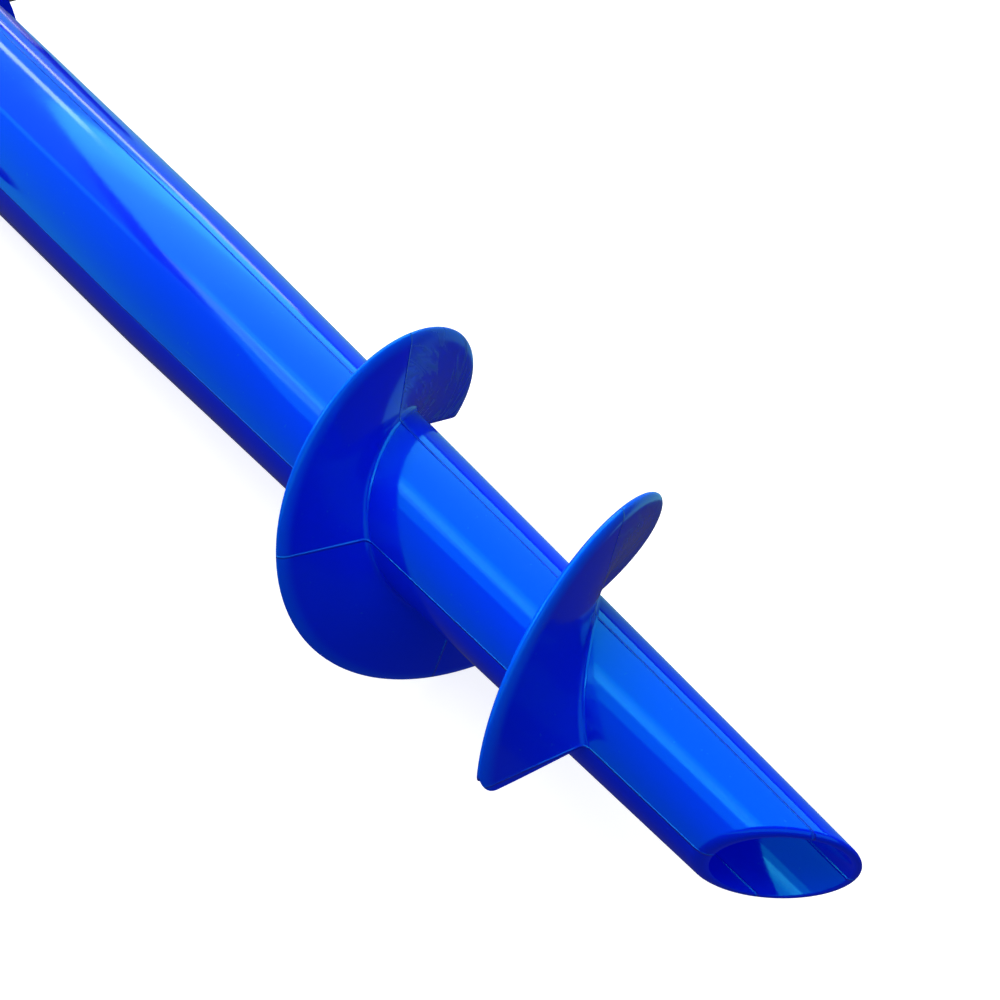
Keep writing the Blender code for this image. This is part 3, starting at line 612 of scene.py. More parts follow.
# ---- the bench: shaping and handing over ----------------------------------------------------
@dataclass
class Bench:
    """Where pieces are turned, cut, smoothed and handed over to the frame."""

    axis: AnchorAxis
    coats: dict[Coat, bpy.types.Material]
    crease: float = math.radians(40)
    made: list[str] = field(default_factory=list)

    @staticmethod
    def turn(profile: Sequence[Point], sides: int = 96, closed: bool = False) -> bmesh.types.BMesh:
        """Spins a profile once round Z.

        Args:
            profile: (radius, height) points.
            sides: steps in the full turn.
            closed: joins the last point to the first.

        Returns:
            The turned mesh.
        """
        bm = bmesh.new()
        points = [bm.verts.new((radius, 0.0, height)) for radius, height in profile]
        edges = [bm.edges.new(pair) for pair in zip(points, points[1:])]
        if closed:
            edges.append(bm.edges.new((points[-1], points[0])))
        bmesh.ops.spin(bm, geom=points + edges, cent=(0, 0, 0), axis=(0, 0, 1), angle=2 * math.pi,
                       steps=sides, use_merge=True, use_normal_flip=False, use_duplicate=False)
        bmesh.ops.remove_doubles(bm, verts=bm.verts[:], dist=1e-6)
        bmesh.ops.recalc_face_normals(bm, faces=bm.faces[:])
        return bm

    @staticmethod
    def ring(bore: float, radius: float, low: float, high: float, sides: int) -> bmesh.types.BMesh:
        """Turns a plain ring.

        Args:
            bore: its inner radius.
            radius: its outer radius.
            low: its lower face.
            high: its upper face.
            sides: how finely it is turned.

        Returns:
            The ring's mesh.
        """
        return Bench.turn([(bore, high), (radius, high), (radius, low), (bore, low)], sides, closed=True)

    @staticmethod
    def pin(radius: float, low: float, high: float, sides: int, seat: Seat = Seat()) -> bmesh.types.BMesh:
        """Turns a plain pin, which is also the cutter of a round hole.

        Args:
            radius: its radius.
            low: where it starts along its own axis.
            high: where it ends.
            sides: how finely it is turned.
            seat: where its axis stands.

        Returns:
            The pin's mesh.
        """
        bm = Bench.turn([(0.0, high), (radius, high), (radius, low), (0.0, low)], sides)
        bmesh.ops.transform(bm, matrix=seat.matrix(), verts=bm.verts[:])
        return bm

    @staticmethod
    def bevel(bm: bmesh.types.BMesh, edges: list[bmesh.types.BMEdge], offset: float, segments: int) -> None:
        """Rounds the given edges of a mesh.

        Args:
            bm: the mesh.
            edges: the edges.
            offset: how wide the rounding is.
            segments: how finely it is cut.
        """
        bmesh.ops.bevel(bm, geom=edges, offset=offset, offset_type="OFFSET", segments=segments,
                        profile=0.5, affect="EDGES", clamp_overlap=True, material=-1)

    @staticmethod
    def break_edges(bm: bmesh.types.BMesh, offset: float, segments: int = 3,
                    angle: float = math.radians(32),
                    where: Callable[[bmesh.types.BMEdge], bool] = lambda edge: True) -> None:
        """Rounds the sharp edges of a mesh.

        Args:
            bm: the mesh.
            offset: how wide the rounding is.
            segments: how finely it is cut.
            angle: edges that bend more than this are sharp.
            where: which of the sharp edges are rounded.
        """
        sharp = [e for e in bm.edges
                 if len(e.link_faces) == 2 and e.calc_face_angle(0.0) > angle and where(e)]
        Bench.bevel(bm, sharp, offset, segments)

    @staticmethod
    def reshape(bm: bmesh.types.BMesh, radius_at: Callable[[float, float, float], float]) -> None:
        """Moves every vertex of a turned mesh towards its axis or away from it.

        Args:
            bm: the mesh.
            radius_at: gives a vertex's new radius from its old one, its angle and its height.
        """
        for vertex in bm.verts:
            x, y, high = vertex.co
            angle = math.atan2(y, x)
            radius = radius_at(vertex.co.xy.length, angle, high)
            vertex.co = Vector((radius * math.cos(angle), radius * math.sin(angle), high))

    @staticmethod
    def join(first: bmesh.types.BMesh, second: bmesh.types.BMesh, matrix: Matrix) -> None:
        """Adds a second mesh to the first.

        Args:
            first: the mesh that grows.
            second: the mesh that is used up.
            matrix: where the second one goes.
        """
        bmesh.ops.transform(second, matrix=matrix, verts=second.verts[:])
        scratch = bpy.data.meshes.new("scratch")
        second.to_mesh(scratch)
        second.free()
        first.from_mesh(scratch)
        bpy.data.meshes.remove(scratch)

    def cut(self, bm: bmesh.types.BMesh, cutters: Iterable[bmesh.types.BMesh],
            operation: str = "DIFFERENCE") -> bmesh.types.BMesh:
        """Cuts or joins solids with exact Booleans.

        Args:
            bm: the solid, which is used up.
            cutters: the other solids, which are used up.
            operation: the Boolean modifier's operation.

        Returns:
            The resulting mesh.
        """
        solids = []
        for number, source in enumerate([bm, *cutters]):
            bmesh.ops.recalc_face_normals(source, faces=source.faces[:])
            mesh = bpy.data.meshes.new(f"cut_{number}")
            source.to_mesh(mesh)
            source.free()
            solids.append(bpy.data.objects.new(f"cut_{number}", mesh))
            bpy.context.scene.collection.objects.link(solids[-1])
        for other in solids[1:]:
            modifier = solids[0].modifiers.new("cut", "BOOLEAN")
            modifier.solver, modifier.operation, modifier.object = "EXACT", operation, other
        depsgraph = bpy.context.evaluated_depsgraph_get()
        depsgraph.update()
        result = bmesh.new()
        result.from_mesh(solids[0].evaluated_get(depsgraph).to_mesh())
        for solid in solids:
            mesh = solid.data
            bpy.data.objects.remove(solid)
            bpy.data.meshes.remove(mesh)
        bmesh.ops.remove_doubles(result, verts=result.verts[:], dist=1e-6)
        bmesh.ops.dissolve_degenerate(result, edges=result.edges[:], dist=1e-6)
        return result

    def middle(self, node: str) -> float:
        """The height of a node's middle above the tip."""
        return sum(self.axis.span(node)) / 2

    def deliver(self, node: str, bm: bmesh.types.BMesh, coat: Coat, body: str, seat: Seat = Seat(),
                weighted: bool = True, nodes: Sequence[str] = ()) -> None:
        """Turns a mesh into a finished piece that rides on its body.

        Args:
            node: the CAD node that it stands for and is named after.
            bm: its mesh in its own axes, which is used up.
            coat: its finish.
            body: the CAD body that it rides on.
            seat: where its axes stand in the anchor's.
            weighted: lets flat faces lead the shading of their rounded edges.
            nodes: the CAD nodes that it stands for, where they are several.
        """
        name, nodes = f"{node}_looks", nodes or [node]
        bmesh.ops.transform(bm, matrix=self.axis.matrix() @ seat.matrix(), verts=bm.verts[:])
        bmesh.ops.recalc_face_normals(bm, faces=bm.faces[:])
        for face in bm.faces:
            face.smooth = True
        for edge in bm.edges:
            edge.smooth = len(edge.link_faces) != 2 or edge.calc_face_angle(0.0) < self.crease
        mesh = bpy.data.meshes.new(name)
        bm.to_mesh(mesh)
        bm.free()
        mesh.materials.append(self.coats[coat])
        piece = bpy.data.objects.new(name, mesh)
        bpy.context.scene.collection.objects.link(piece)
        if weighted:
            modifier = piece.modifiers.new("flat_faces_first", "WEIGHTED_NORMAL")
            modifier.keep_sharp = True
        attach(piece, body)
        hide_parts(*nodes)
        self.made.append(name)
        LOG.info("%s: %d faces, for %s", name, len(mesh.polygons), ", ".join(nodes))

    def dress(self, coat: Coat, *nodes: str) -> None:
        """Gives CAD nodes that stay as they are a finish.

        Args:
            coat: the finish.
            nodes: the CAD nodes.
        """
        for name in nodes:
            node = frame["nodes"][name]
            node.data.materials.clear()
            node.data.materials.append(self.coats[coat])
            LOG.info("%s: CAD node dressed in %s", name, coat.material)


# ---- tube and flight ------------------------------------------------------------------------
@dataclass
class Auger:
    """The one moulding that goes into the ground: a tapered tube, a flight and a slanting tip."""

    bench: Bench
    knee: float = 0.248
    tip_radius: float = 0.0114
    knee_radius: float = 0.0239
    mouth_radius: float = 0.0324
    tip_wall: float = 0.0018
    knee_wall: float = 0.0024
    mouth_wall: float = 0.0030
    cut_tilt: float = math.radians(41.8)
    cut_azimuth: float = math.radians(-81)
    lip_round: float = 0.0013
    rim_radius: float = 0.040
    start: float = 0.0543
    start_angle: float = math.radians(-73)
    turns: float = 1.5
    pitch: float = 0.0718
    root_half: float = 0.0028
    rim_half: float = 0.0014
    fillet: float = 0.0014
    nose: float = 0.0036
    # how wide the painted highlight along the flight's rim is
    rim_highlight_band: float = 0.0032
    corner: float = 0.0045
    over_end: float = 0.0080
    over_start: float = 0.0014
    growth: float = 0.0006
    end_growth: float = 0.0007
    sides: int = 160
    steps_per_turn: int = 120

    def length(self) -> float:
        """The tube's length, from the frame."""
        low, high = self.bench.axis.span("auger_body")
        return high - low

    def radius_at(self, height: float) -> float:
        """The tube's outer radius.

        Args:
            height: the place above the tip.

        Returns:
            The radius there.
        """
        if height < self.knee:
            return self.knee_radius + (self.knee_radius - self.tip_radius) * (height / self.knee - 1)
        share = (height - self.knee) / (self.length() - self.knee)
        return self.knee_radius + (self.mouth_radius - self.knee_radius) * share

    def tube(self) -> bmesh.types.BMesh:
        """Makes the open tube with its slanting, rounded lip.

        Returns:
            The tube's mesh.
        """
        top, foot, soft = self.length(), -0.006, 0.012
        outer = [(self.radius_at(foot), foot), (self.radius_at(self.knee - soft), self.knee - soft),
                 (self.knee_radius - 0.00003, self.knee), (self.radius_at(self.knee + soft), self.knee + soft),
                 (self.mouth_radius, top)]
        inner = [(self.mouth_radius - self.mouth_wall, top), (self.knee_radius - self.knee_wall, self.knee),
                 (self.radius_at(foot) - self.tip_wall, foot)]
        bm = Bench.turn(outer + inner, self.sides, closed=True)
        reach = self.tip_radius * math.tan(self.cut_tilt)
        lean = Matrix.Rotation(self.cut_azimuth, 3, "Z") @ Matrix.Rotation(-self.cut_tilt, 3, "Y")
        cut = bmesh.ops.bisect_plane(bm, geom=bm.verts[:] + bm.edges[:] + bm.faces[:], dist=1e-7,
                                     plane_co=(0, 0, reach), plane_no=lean @ Vector((0, 0, 1)),
                                     clear_inner=True, clear_outer=False)
        rims = [g for g in cut["geom_cut"] if isinstance(g, bmesh.types.BMEdge)]
        bmesh.ops.bridge_loops(bm, edges=rims)
        bmesh.ops.recalc_face_normals(bm, faces=bm.faces[:])
        plane = lean @ Vector((0, 0, 1))

        def on_lip(edge: bmesh.types.BMEdge, outside: bool) -> bool:
            """Finds the lip's edges.

            Args:
                edge: an edge of the tube.
                outside: looks for the outer rim rather than the inner one.

            Returns:
                True if the edge is part of it.
            """
            middle = (edge.verts[0].co + edge.verts[1].co) / 2
            wall_middle = self.radius_at(middle.z) - self.tip_wall / 2
            flat = abs((middle - Vector((0, 0, reach))).dot(plane)) < 1e-5
            return flat and (middle.xy.length > wall_middle) == outside

        Bench.break_edges(bm, self.lip_round, 7, math.radians(20), lambda e: on_lip(e, True))
        Bench.break_edges(bm, 0.0002, 2, math.radians(20), lambda e: on_lip(e, False))
        # the inside attribute marks the bore's wall for the painted glow in the tube
        inside = bm.verts.layers.float.new("inside")
        for vertex in bm.verts:
            near = self.radius_at(vertex.co.z) - vertex.co.xy.length
            vertex[inside] = 1.0 if near > 0.9 * self.tip_wall else 0.0
        return bm

    def section(self) -> list[Point]:
        """Draws the flight's section, standing out from a tube as thick as its rim allows.

        Returns:
            (distance from the tube's wall, height) points, the tip's side first.
        """
        span = self.rim_radius - self.knee_radius
        side = [(-0.0010, self.root_half + self.fillet)]
        for step in range(6):
            turn = math.pi / 2 * step / 5
            across, up = 1 - math.cos(turn), 1 - math.sin(turn)
            side.append((self.fillet * across, self.root_half + self.fillet * up))
        flat_end = span - self.nose
        for step in range(1, 5):
            share = step / 5
            out = self.fillet + (flat_end - self.fillet) * share
            side.append((out, self.root_half + (self.rim_half - self.root_half) * share))
        for step in range(9):
            turn = math.pi / 2 * step / 8
            side.append((flat_end + self.nose * math.sin(turn), self.rim_half * math.cos(turn)))
        back = [(out, high) for out, high in reversed(side[:-1])]
        return [(out, -high) for out, high in side] + back

    def settle(self, vertex: bmesh.types.BMVert, rim_highlight_layer: object, side_layer: object) -> None:
        """Moves a vertex of the plain spun flight to the taper of the tube and rounds the start.

        Args:
            vertex: the vertex.
            rim_highlight_layer: where its nearness to the rim is kept, for the painted highlight along the rim.
            side_layer: where it is kept whether it faces the tip.
        """
        co = vertex.co
        angle, spun = math.atan2(co.y, co.x), co.xy.length
        turn = ((angle - self.start_angle) / (2 * math.pi)) % 1.0
        turn += round((co.z - self.start) / self.pitch - turn)
        high = co.z - self.start - self.pitch * turn
        out = spun - self.knee_radius
        flat_end = self.rim_radius - self.knee_radius - self.nose
        root = self.radius_at(self.start + self.pitch * turn)
        if out <= self.fillet:
            radius = root + out
        elif out >= flat_end:
            radius = spun
        else:
            share = (out - self.fillet) / (flat_end - self.fillet)
            radius = root + self.fillet + (self.rim_radius - self.nose - root - self.fillet) * share
        over = max(0.0, radius - (self.rim_radius - self.corner))
        share = limit(out / (self.rim_radius - self.knee_radius))
        pull = self.corner - math.sqrt(max(0.0, self.corner ** 2 - over ** 2)) - self.over_start * share
        turn += pull / (2 * math.pi * radius) * max(0.0, 1 - turn / 0.06)
        turn += self.over_end * limit((turn - self.turns + 0.1) / 0.1)
        angle = self.start_angle + 2 * math.pi * turn
        late = limit((turn - self.turns + 0.35) / 0.2)
        free = 1 - max(0.0, -math.cos(angle)) ** 2
        radius += (self.growth + self.end_growth * late) * share * free
        vertex.co = Vector((radius * math.cos(angle), radius * math.sin(angle),
                            self.start + self.pitch * turn + high))
        # the rim attribute leads the painted highlight along the flight's rim
        vertex[rim_highlight_layer] = limit((spun - self.rim_radius + self.rim_highlight_band) / self.rim_highlight_band * 1.3)
        # tip_side weights the painted sheen and scuffs on the tip-facing faces, less on the first turn
        vertex[side_layer] = (0.45 if turn < 0.8 else 1.0) if high < 0.0 and out > self.fillet / 2 else 0.0

    def flight(self) -> bmesh.types.BMesh:
        """Makes the flight: the section spun up the helix and settled on the taper.

        Returns:
            The flight's mesh.
        """
        bm = bmesh.new()
        corners = [bm.verts.new((self.knee_radius + out, 0.0, high)) for out, high in self.section()]
        face = bm.faces.new(corners)
        bmesh.ops.rotate(bm, verts=corners, cent=(0, 0, 0), matrix=Matrix.Rotation(self.start_angle, 3, "Z"))
        bmesh.ops.translate(bm, verts=corners, vec=(0, 0, self.start))
        steps = round(self.steps_per_turn * self.turns)
        bmesh.ops.spin(bm, geom=corners + list(face.edges) + [face], cent=(0, 0, 0), axis=(0, 0, 1),
                       dvec=(0, 0, self.pitch * self.turns / steps), angle=2 * math.pi * self.turns,
                       steps=steps, use_merge=False, use_duplicate=False)
        bmesh.ops.recalc_face_normals(bm, faces=bm.faces[:])
        rim_highlight_layer = bm.verts.layers.float.new("rim")
        side_layer = bm.verts.layers.float.new("tip_side")
        for vertex in bm.verts:
            self.settle(vertex, rim_highlight_layer, side_layer)
        ends = {e for f in bm.faces if len(f.verts) > 4 for e in f.edges}
        Bench.break_edges(bm, 0.0003, 2, math.radians(40), lambda e: e in ends)
        return bm

    def build(self) -> None:
        """Makes the moulding and hands it over."""
        body = self.flight()
        Bench.join(body, self.tube(), Matrix.Identity(4))
        self.bench.deliver("auger_body", body, Coat.TUBE_BLUE, "anchor", weighted=False)


# ---- hub ------------------------------------------------------------------------------------
@dataclass
class Hub:
    """The square head: a socket for the tube, a tunnel for the handle and a pocket for bearings."""

    bench: Bench
    half: float = 0.040
    corner: float = 0.014
    collar_radius: float = 0.0384
    socket_radius: float = 0.0327
    socket_foot_radius: float = 0.0318
    skirt: float = 0.0043
    tunnel_radius: float = 0.0137
    pocket_radius: float = 0.0273
    clamp_radius: float = 0.0043
    insert_radius: float = 0.0068
    insert_depth: float = 0.0116
    recess_depth: float = 0.007
    recess_width: float = 0.015
    recess_rim: float = 0.007
    recess_corner: float = 0.0025
    rib: float = 0.0035
    margin: float = 0.004
    gap: float = 0.0003
    screw_radius: float = 0.0020
    screw_hole: Point = (0.025, 0.043)
    lid_screw_radius: float = 0.0022
    lid_screw_depth: float = 0.018
    lid_circle: float = 0.031
    edge_round: float = 0.0007

    def block(self, base: float, top: float) -> bmesh.types.BMesh:
        """Makes the square block with its rounded upright corners.

        Args:
            base: its underside.
            top: its upper face.

        Returns:
            The block's mesh.
        """
        bm = bmesh.new()
        bmesh.ops.create_cube(bm, size=1.0)
        bmesh.ops.scale(bm, vec=(2 * self.half, 2 * self.half, top - base), verts=bm.verts[:])
        bmesh.ops.translate(bm, vec=(0, 0, (top + base) / 2), verts=bm.verts[:])
        upright = [e for e in bm.edges if abs(e.verts[0].co.z - e.verts[1].co.z) > self.corner]
        Bench.bevel(bm, upright, self.corner, 10)
        return bm

    def recess(self, face: int, side: int, low: float, high: float) -> bmesh.types.BMesh:
        """Makes one rounded sink's cutter.

        Args:
            face: which flat face, +1 or -1.
            side: which side of the rib, +1 or -1.
            low: the sink's lower end.
            high: its upper end.

        Returns:
            The cutter's mesh.
        """
        bm = bmesh.new()
        bmesh.ops.create_cube(bm, size=1.0)
        depth, margin = self.recess_depth, self.margin
        inner = self.insert_radius - self.gap + self.rib
        bmesh.ops.scale(bm, vec=(depth + margin, self.recess_width, high - low), verts=bm.verts[:])
        middle = Vector((face * (self.half + (margin - depth) / 2), side * (inner + self.recess_width / 2),
                         (low + high) / 2))
        bmesh.ops.translate(bm, vec=middle, verts=bm.verts[:])
        inwards = [e for e in bm.edges if abs(e.verts[0].co.x - e.verts[1].co.x) > depth]
        Bench.bevel(bm, inwards, self.recess_corner, 4)
        return bm

    def build(self) -> None:
        """Makes the hub and hands it over."""
        base, top = self.bench.axis.span("head_hub")
        seat_height = self.bench.axis.span("auger_body")[1] + self.gap
        bar = self.bench.middle("handle_bar")
        pocket_floor = self.bench.axis.span("bearing_cartridge")[0] - self.gap
        hub_screw = self.bench.middle("hub_screw_1")
        beyond = self.half + 0.01
        hub = self.block(seat_height - self.skirt + self.gap, top)
        collar = Bench.pin(self.collar_radius, base, seat_height + self.gap, 128)
        hub = self.bench.cut(hub, [collar], "UNION")
        socket = Bench.turn([(0.0, seat_height), (self.socket_radius, seat_height),
                             (self.socket_foot_radius, base - self.margin), (0.0, base - self.margin)], 128)
        cutters = [
            socket,
            Bench.pin(self.pocket_radius, pocket_floor, top + self.margin, 64),
            Bench.pin(self.tunnel_radius, -beyond, beyond, 64, Seat(bar, Facing.RIGHT)),
            Bench.pin(self.clamp_radius, 0.0, beyond, 32, Seat(bar, Facing.OUT)),
            Bench.pin(self.insert_radius, self.half - self.insert_depth, beyond, 32, Seat(bar, Facing.OUT)),
        ]
        for face in (-1, 1):
            for side in (-1, 1):
                cutters.append(self.recess(face, side, seat_height + self.recess_rim, top - self.recess_rim))
        for number in range(4):
            angle = math.radians(45 + 90 * number)
            cutters.append(Bench.pin(self.screw_radius, *self.screw_hole, 24,
                                     Seat(hub_screw, Facing.OUT, angle)))
            cutters.append(Bench.pin(self.lid_screw_radius, top - self.lid_screw_depth, top + self.margin, 24,
                                     Seat(0.0, Facing.SPINDLE, angle, self.lid_circle)))
        hub = self.bench.cut(hub, cutters)
        bmesh.ops.dissolve_limit(hub, angle_limit=math.radians(0.5), verts=hub.verts[:], edges=hub.edges[:])
        Bench.break_edges(hub, self.edge_round, 3)
        self.bench.deliver("head_hub", hub, Coat.HUB_BLUE, "anchor")


# ---- screws ---------------------------------------------------------------------------------
@dataclass
class Screws:
    """The eight socket-headed screws of the collar and of the bearing cover."""

    bench: Bench
    hub_radius: float = 0.0017
    hub_head: Point = (0.0035, 0.0022)
    lid_radius: float = 0.0019
    lid_head: Point = (0.0033, 0.0024)
    lid_circle: float = 0.031
    thread_pitch: float = 0.0007
    thread_depth: float = 0.00025

    def screw(self, radius: float, head: Point, low: float, high: float) -> bmesh.types.BMesh:
        """Makes a screw along its own +Z: a threaded shank, a domed head and a six-sided socket.

        Args:
            radius: the shank's radius.
            head: the head's radius and height.
            low: the shank's end.
            high: the head's top.

        Returns:
            The screw's mesh.
        """
        head_radius, head_height = head
        neck, socket = high - head_height, head_radius * 0.42
        rows = max(8, round((neck - low) / self.thread_pitch * 4))
        dome = [(socket, high - head_height * 0.02), (head_radius * 0.62, high - head_height * 0.06),
                (head_radius * 0.88, high - head_height * 0.28), (head_radius, high - head_height * 0.62),
                (head_radius, neck)]
        shank = [(radius, neck - (neck - low - 0.0006) * row / rows) for row in range(rows + 1)]
        bm = Bench.turn([*dome, *shank, (radius * 0.6, low), (0.0, low)], 48)

        def thread_and_socket(spun: float, angle: float, place: float) -> float:
            """Cuts the thread and squares the socket's mouth to six sides.

            Args:
                spun: a vertex's radius.
                angle: its angle.
                place: its height.

            Returns:
                Its new radius.
            """
            if abs(spun - radius) < 1e-6 and place < neck - 0.0008:
                phase = (place / self.thread_pitch - angle / (2 * math.pi)) % 1.0
                return spun - self.thread_depth * (1 - abs(2 * phase - 1))
            if abs(spun - socket) < 1e-6:
                side = (angle + math.pi / 6) % (math.pi / 3) - math.pi / 6
                return socket * math.cos(math.pi / 6) / math.cos(side)
            return spun

        Bench.reshape(bm, thread_and_socket)
        mouth = [e for e in bm.edges if e.is_boundary]
        sunk = bmesh.ops.extrude_edge_only(bm, edges=mouth)["geom"]
        lower = [g for g in sunk if isinstance(g, bmesh.types.BMVert)]
        bmesh.ops.translate(bm, verts=lower, vec=(0, 0, -head_height * 0.55))
        floor_edges = [g for g in sunk if isinstance(g, bmesh.types.BMEdge) and g.is_boundary]
        bmesh.ops.contextual_create(bm, geom=floor_edges)
        return bm

    def build(self) -> None:
        """Makes all eight screws and hands them over."""
        height = self.bench.middle("hub_screw_1")
        lid_low, lid_high = self.bench.axis.span("lid_screw_1")
        inner, outer = self.reach("hub_screw_1")
        for number in range(4):
            angle = math.radians(45 + 90 * number)
            radial = self.screw(self.hub_radius, self.hub_head, inner, outer)
            self.bench.deliver(f"hub_screw_{number + 1}", radial, Coat.TURNED_STEEL, "anchor",
                               Seat(height, Facing.OUT, angle))
            upright = self.screw(self.lid_radius, self.lid_head, lid_low, lid_high)
            self.bench.deliver(f"lid_screw_{number + 1}", upright, Coat.TURNED_STEEL, "anchor",
                               Seat(0.0, Facing.SPINDLE, angle, self.lid_circle))

    def reach(self, node: str) -> Point:
        """Measures a diagonal screw along its own axis.

        Args:
            node: the screw's CAD node.

        Returns:
            How far its inner and its outer end stand out from the anchor's axis.
        """
        points = frame["nodes"][node].data.vertices
        radii = [(v.co.z - self.bench.axis.height + v.co.y) / math.sqrt(2) for v in points]
        return min(radii), max(radii)


# ---- handle ---------------------------------------------------------------------------------
@dataclass
class Handle:
    """The sliding T-bar with its rubber grips and end caps, and the bushes that it slides in."""

    bench: Bench
    bar_radius: float = 0.011
    bar_wall: float = 0.0015
    grip_wall: float = 0.0042
    grip_length: float = 0.066
    grip_ribs: int = 13
    grip_flutes: int = 24
    flute_depth: float = 0.00035
    cap_head: float = 0.003
    cap_shank: float = 0.012
    bush_bore: float = 0.0114
    bush_wall: float = 0.0020
    bush_length: float = 0.022
    bush_flange_radius: float = 0.0165
    bush_flange: float = 0.0018
    hub_half: float = 0.040
    gap: float = 0.0003

    def bar(self, half: float) -> bmesh.types.BMesh:
        """Makes the drawn tube with its deburred ends.

        Args:
            half: half its length.

        Returns:
            The tube's mesh.
        """
        bm = Bench.ring(self.bar_radius - self.bar_wall, self.bar_radius, -half, half, 128)
        Bench.break_edges(bm, 0.0004, 3)
        return bm

    def grip(self, end: float) -> bmesh.types.BMesh:
        """Makes a barrelled grip with a bead at each end, ribs round it and flutes along it.

        Args:
            end: how far out its end lies.

        Returns:
            The grip's mesh.
        """
        bore, start = self.bar_radius + self.gap, end - self.grip_length
        outer = bore + self.grip_wall
        rows = 8 * self.grip_ribs
        profile = [(bore, end)]
        for row in range(rows + 1):
            share = row / rows
            place = end - self.grip_length * share
            edge = min(share, 1 - share)
            belly = 0.25 * self.grip_wall * abs(math.cos(math.pi * 3 * share)) ** 0.6
            bead = 0.30 * self.grip_wall * math.exp(-((edge - 0.05) / 0.03) ** 2)
            rib = 0.00032 * math.cos(2 * math.pi * self.grip_ribs * share) * (edge > 0.11)
            ease = 0.0006 * max(0.0, 1 - edge / 0.02) ** 2
            profile.append((min(outer, outer - 0.28 * self.grip_wall + belly + bead + rib) - ease, place))
        profile.append((bore, start))
        bm = Bench.turn(profile, 144, closed=True)
        middle = (start + end) / 2

        def flutes(spun: float, angle: float, place: float) -> float:
            """Sinks soft flutes between the beads.

            Args:
                spun: a vertex's radius.
                angle: its angle.
                place: its height.

            Returns:
                Its new radius.
            """
            inside = limit((self.grip_length * 0.39 - abs(place - middle)) / 0.003)
            if spun <= bore + 0.001:
                return spun
            return spun - self.flute_depth * inside * (0.5 + 0.5 * math.cos(self.grip_flutes * angle))

        Bench.reshape(bm, flutes)
        return bm

    def cap(self, half: float) -> bmesh.types.BMesh:
        """Makes a push-in cap with a domed head and ribs on its shank.

        Args:
            half: where the bar ends.

        Returns:
            The cap's mesh.
        """
        end, shank = half + self.gap, self.bar_radius - self.bar_wall - self.gap
        head = self.bar_radius + self.grip_wall / 2
        profile = [(0.0, end + self.cap_head), (head * 0.55, end + self.cap_head * 0.97),
                   (head * 0.86, end + self.cap_head * 0.80), (head, end + self.cap_head * 0.42), (head, end)]
        for rib in range(4):
            top = end - 0.001 - rib * 0.0025
            profile += [(shank - 0.0006, top), (shank, top - 0.0004), (shank - 0.0006, top - 0.0018)]
        profile += [(shank - 0.0006, end - self.cap_shank), (0.0, end - self.cap_shank)]
        bm = Bench.turn(profile, 96)
        Bench.break_edges(bm, 0.0002, 2, math.radians(60))
        return bm

    def bush(self) -> bmesh.types.BMesh:
        """Makes a flanged sleeve with a bell mouth.

        Returns:
            The sleeve's mesh.
        """
        face, radius = self.hub_half + self.gap, self.bush_bore + self.bush_wall
        top = face + self.bush_flange
        profile = [(self.bush_bore, top), (self.bush_flange_radius, top), (self.bush_flange_radius, face),
                   (radius, face), (radius, face - self.bush_length), (self.bush_bore, face - self.bush_length)]
        bm = Bench.turn(profile, 96, closed=True)
        Bench.break_edges(bm, 0.0005, 4)
        return bm

    def build(self) -> None:
        """Makes the handle and its bushes and hands them over."""
        height, half = self.bench.middle("handle_bar"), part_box("handle_bar")[1].y
        deliver = self.bench.deliver
        deliver("handle_bar", self.bar(half), Coat.DRAWN_STEEL, "handle", Seat(height, Facing.LEFT))
        for side in (Facing.LEFT, Facing.RIGHT):
            seat = Seat(height, side)
            deliver(f"grip_{side.value}", self.grip(half), Coat.RUBBER, "handle", seat, weighted=False)
            deliver(f"bar_cap_{side.value}", self.cap(half), Coat.BLACK, "handle", seat)
            deliver(f"tunnel_bush_{side.value}", self.bush(), Coat.BLACK, "anchor", seat)


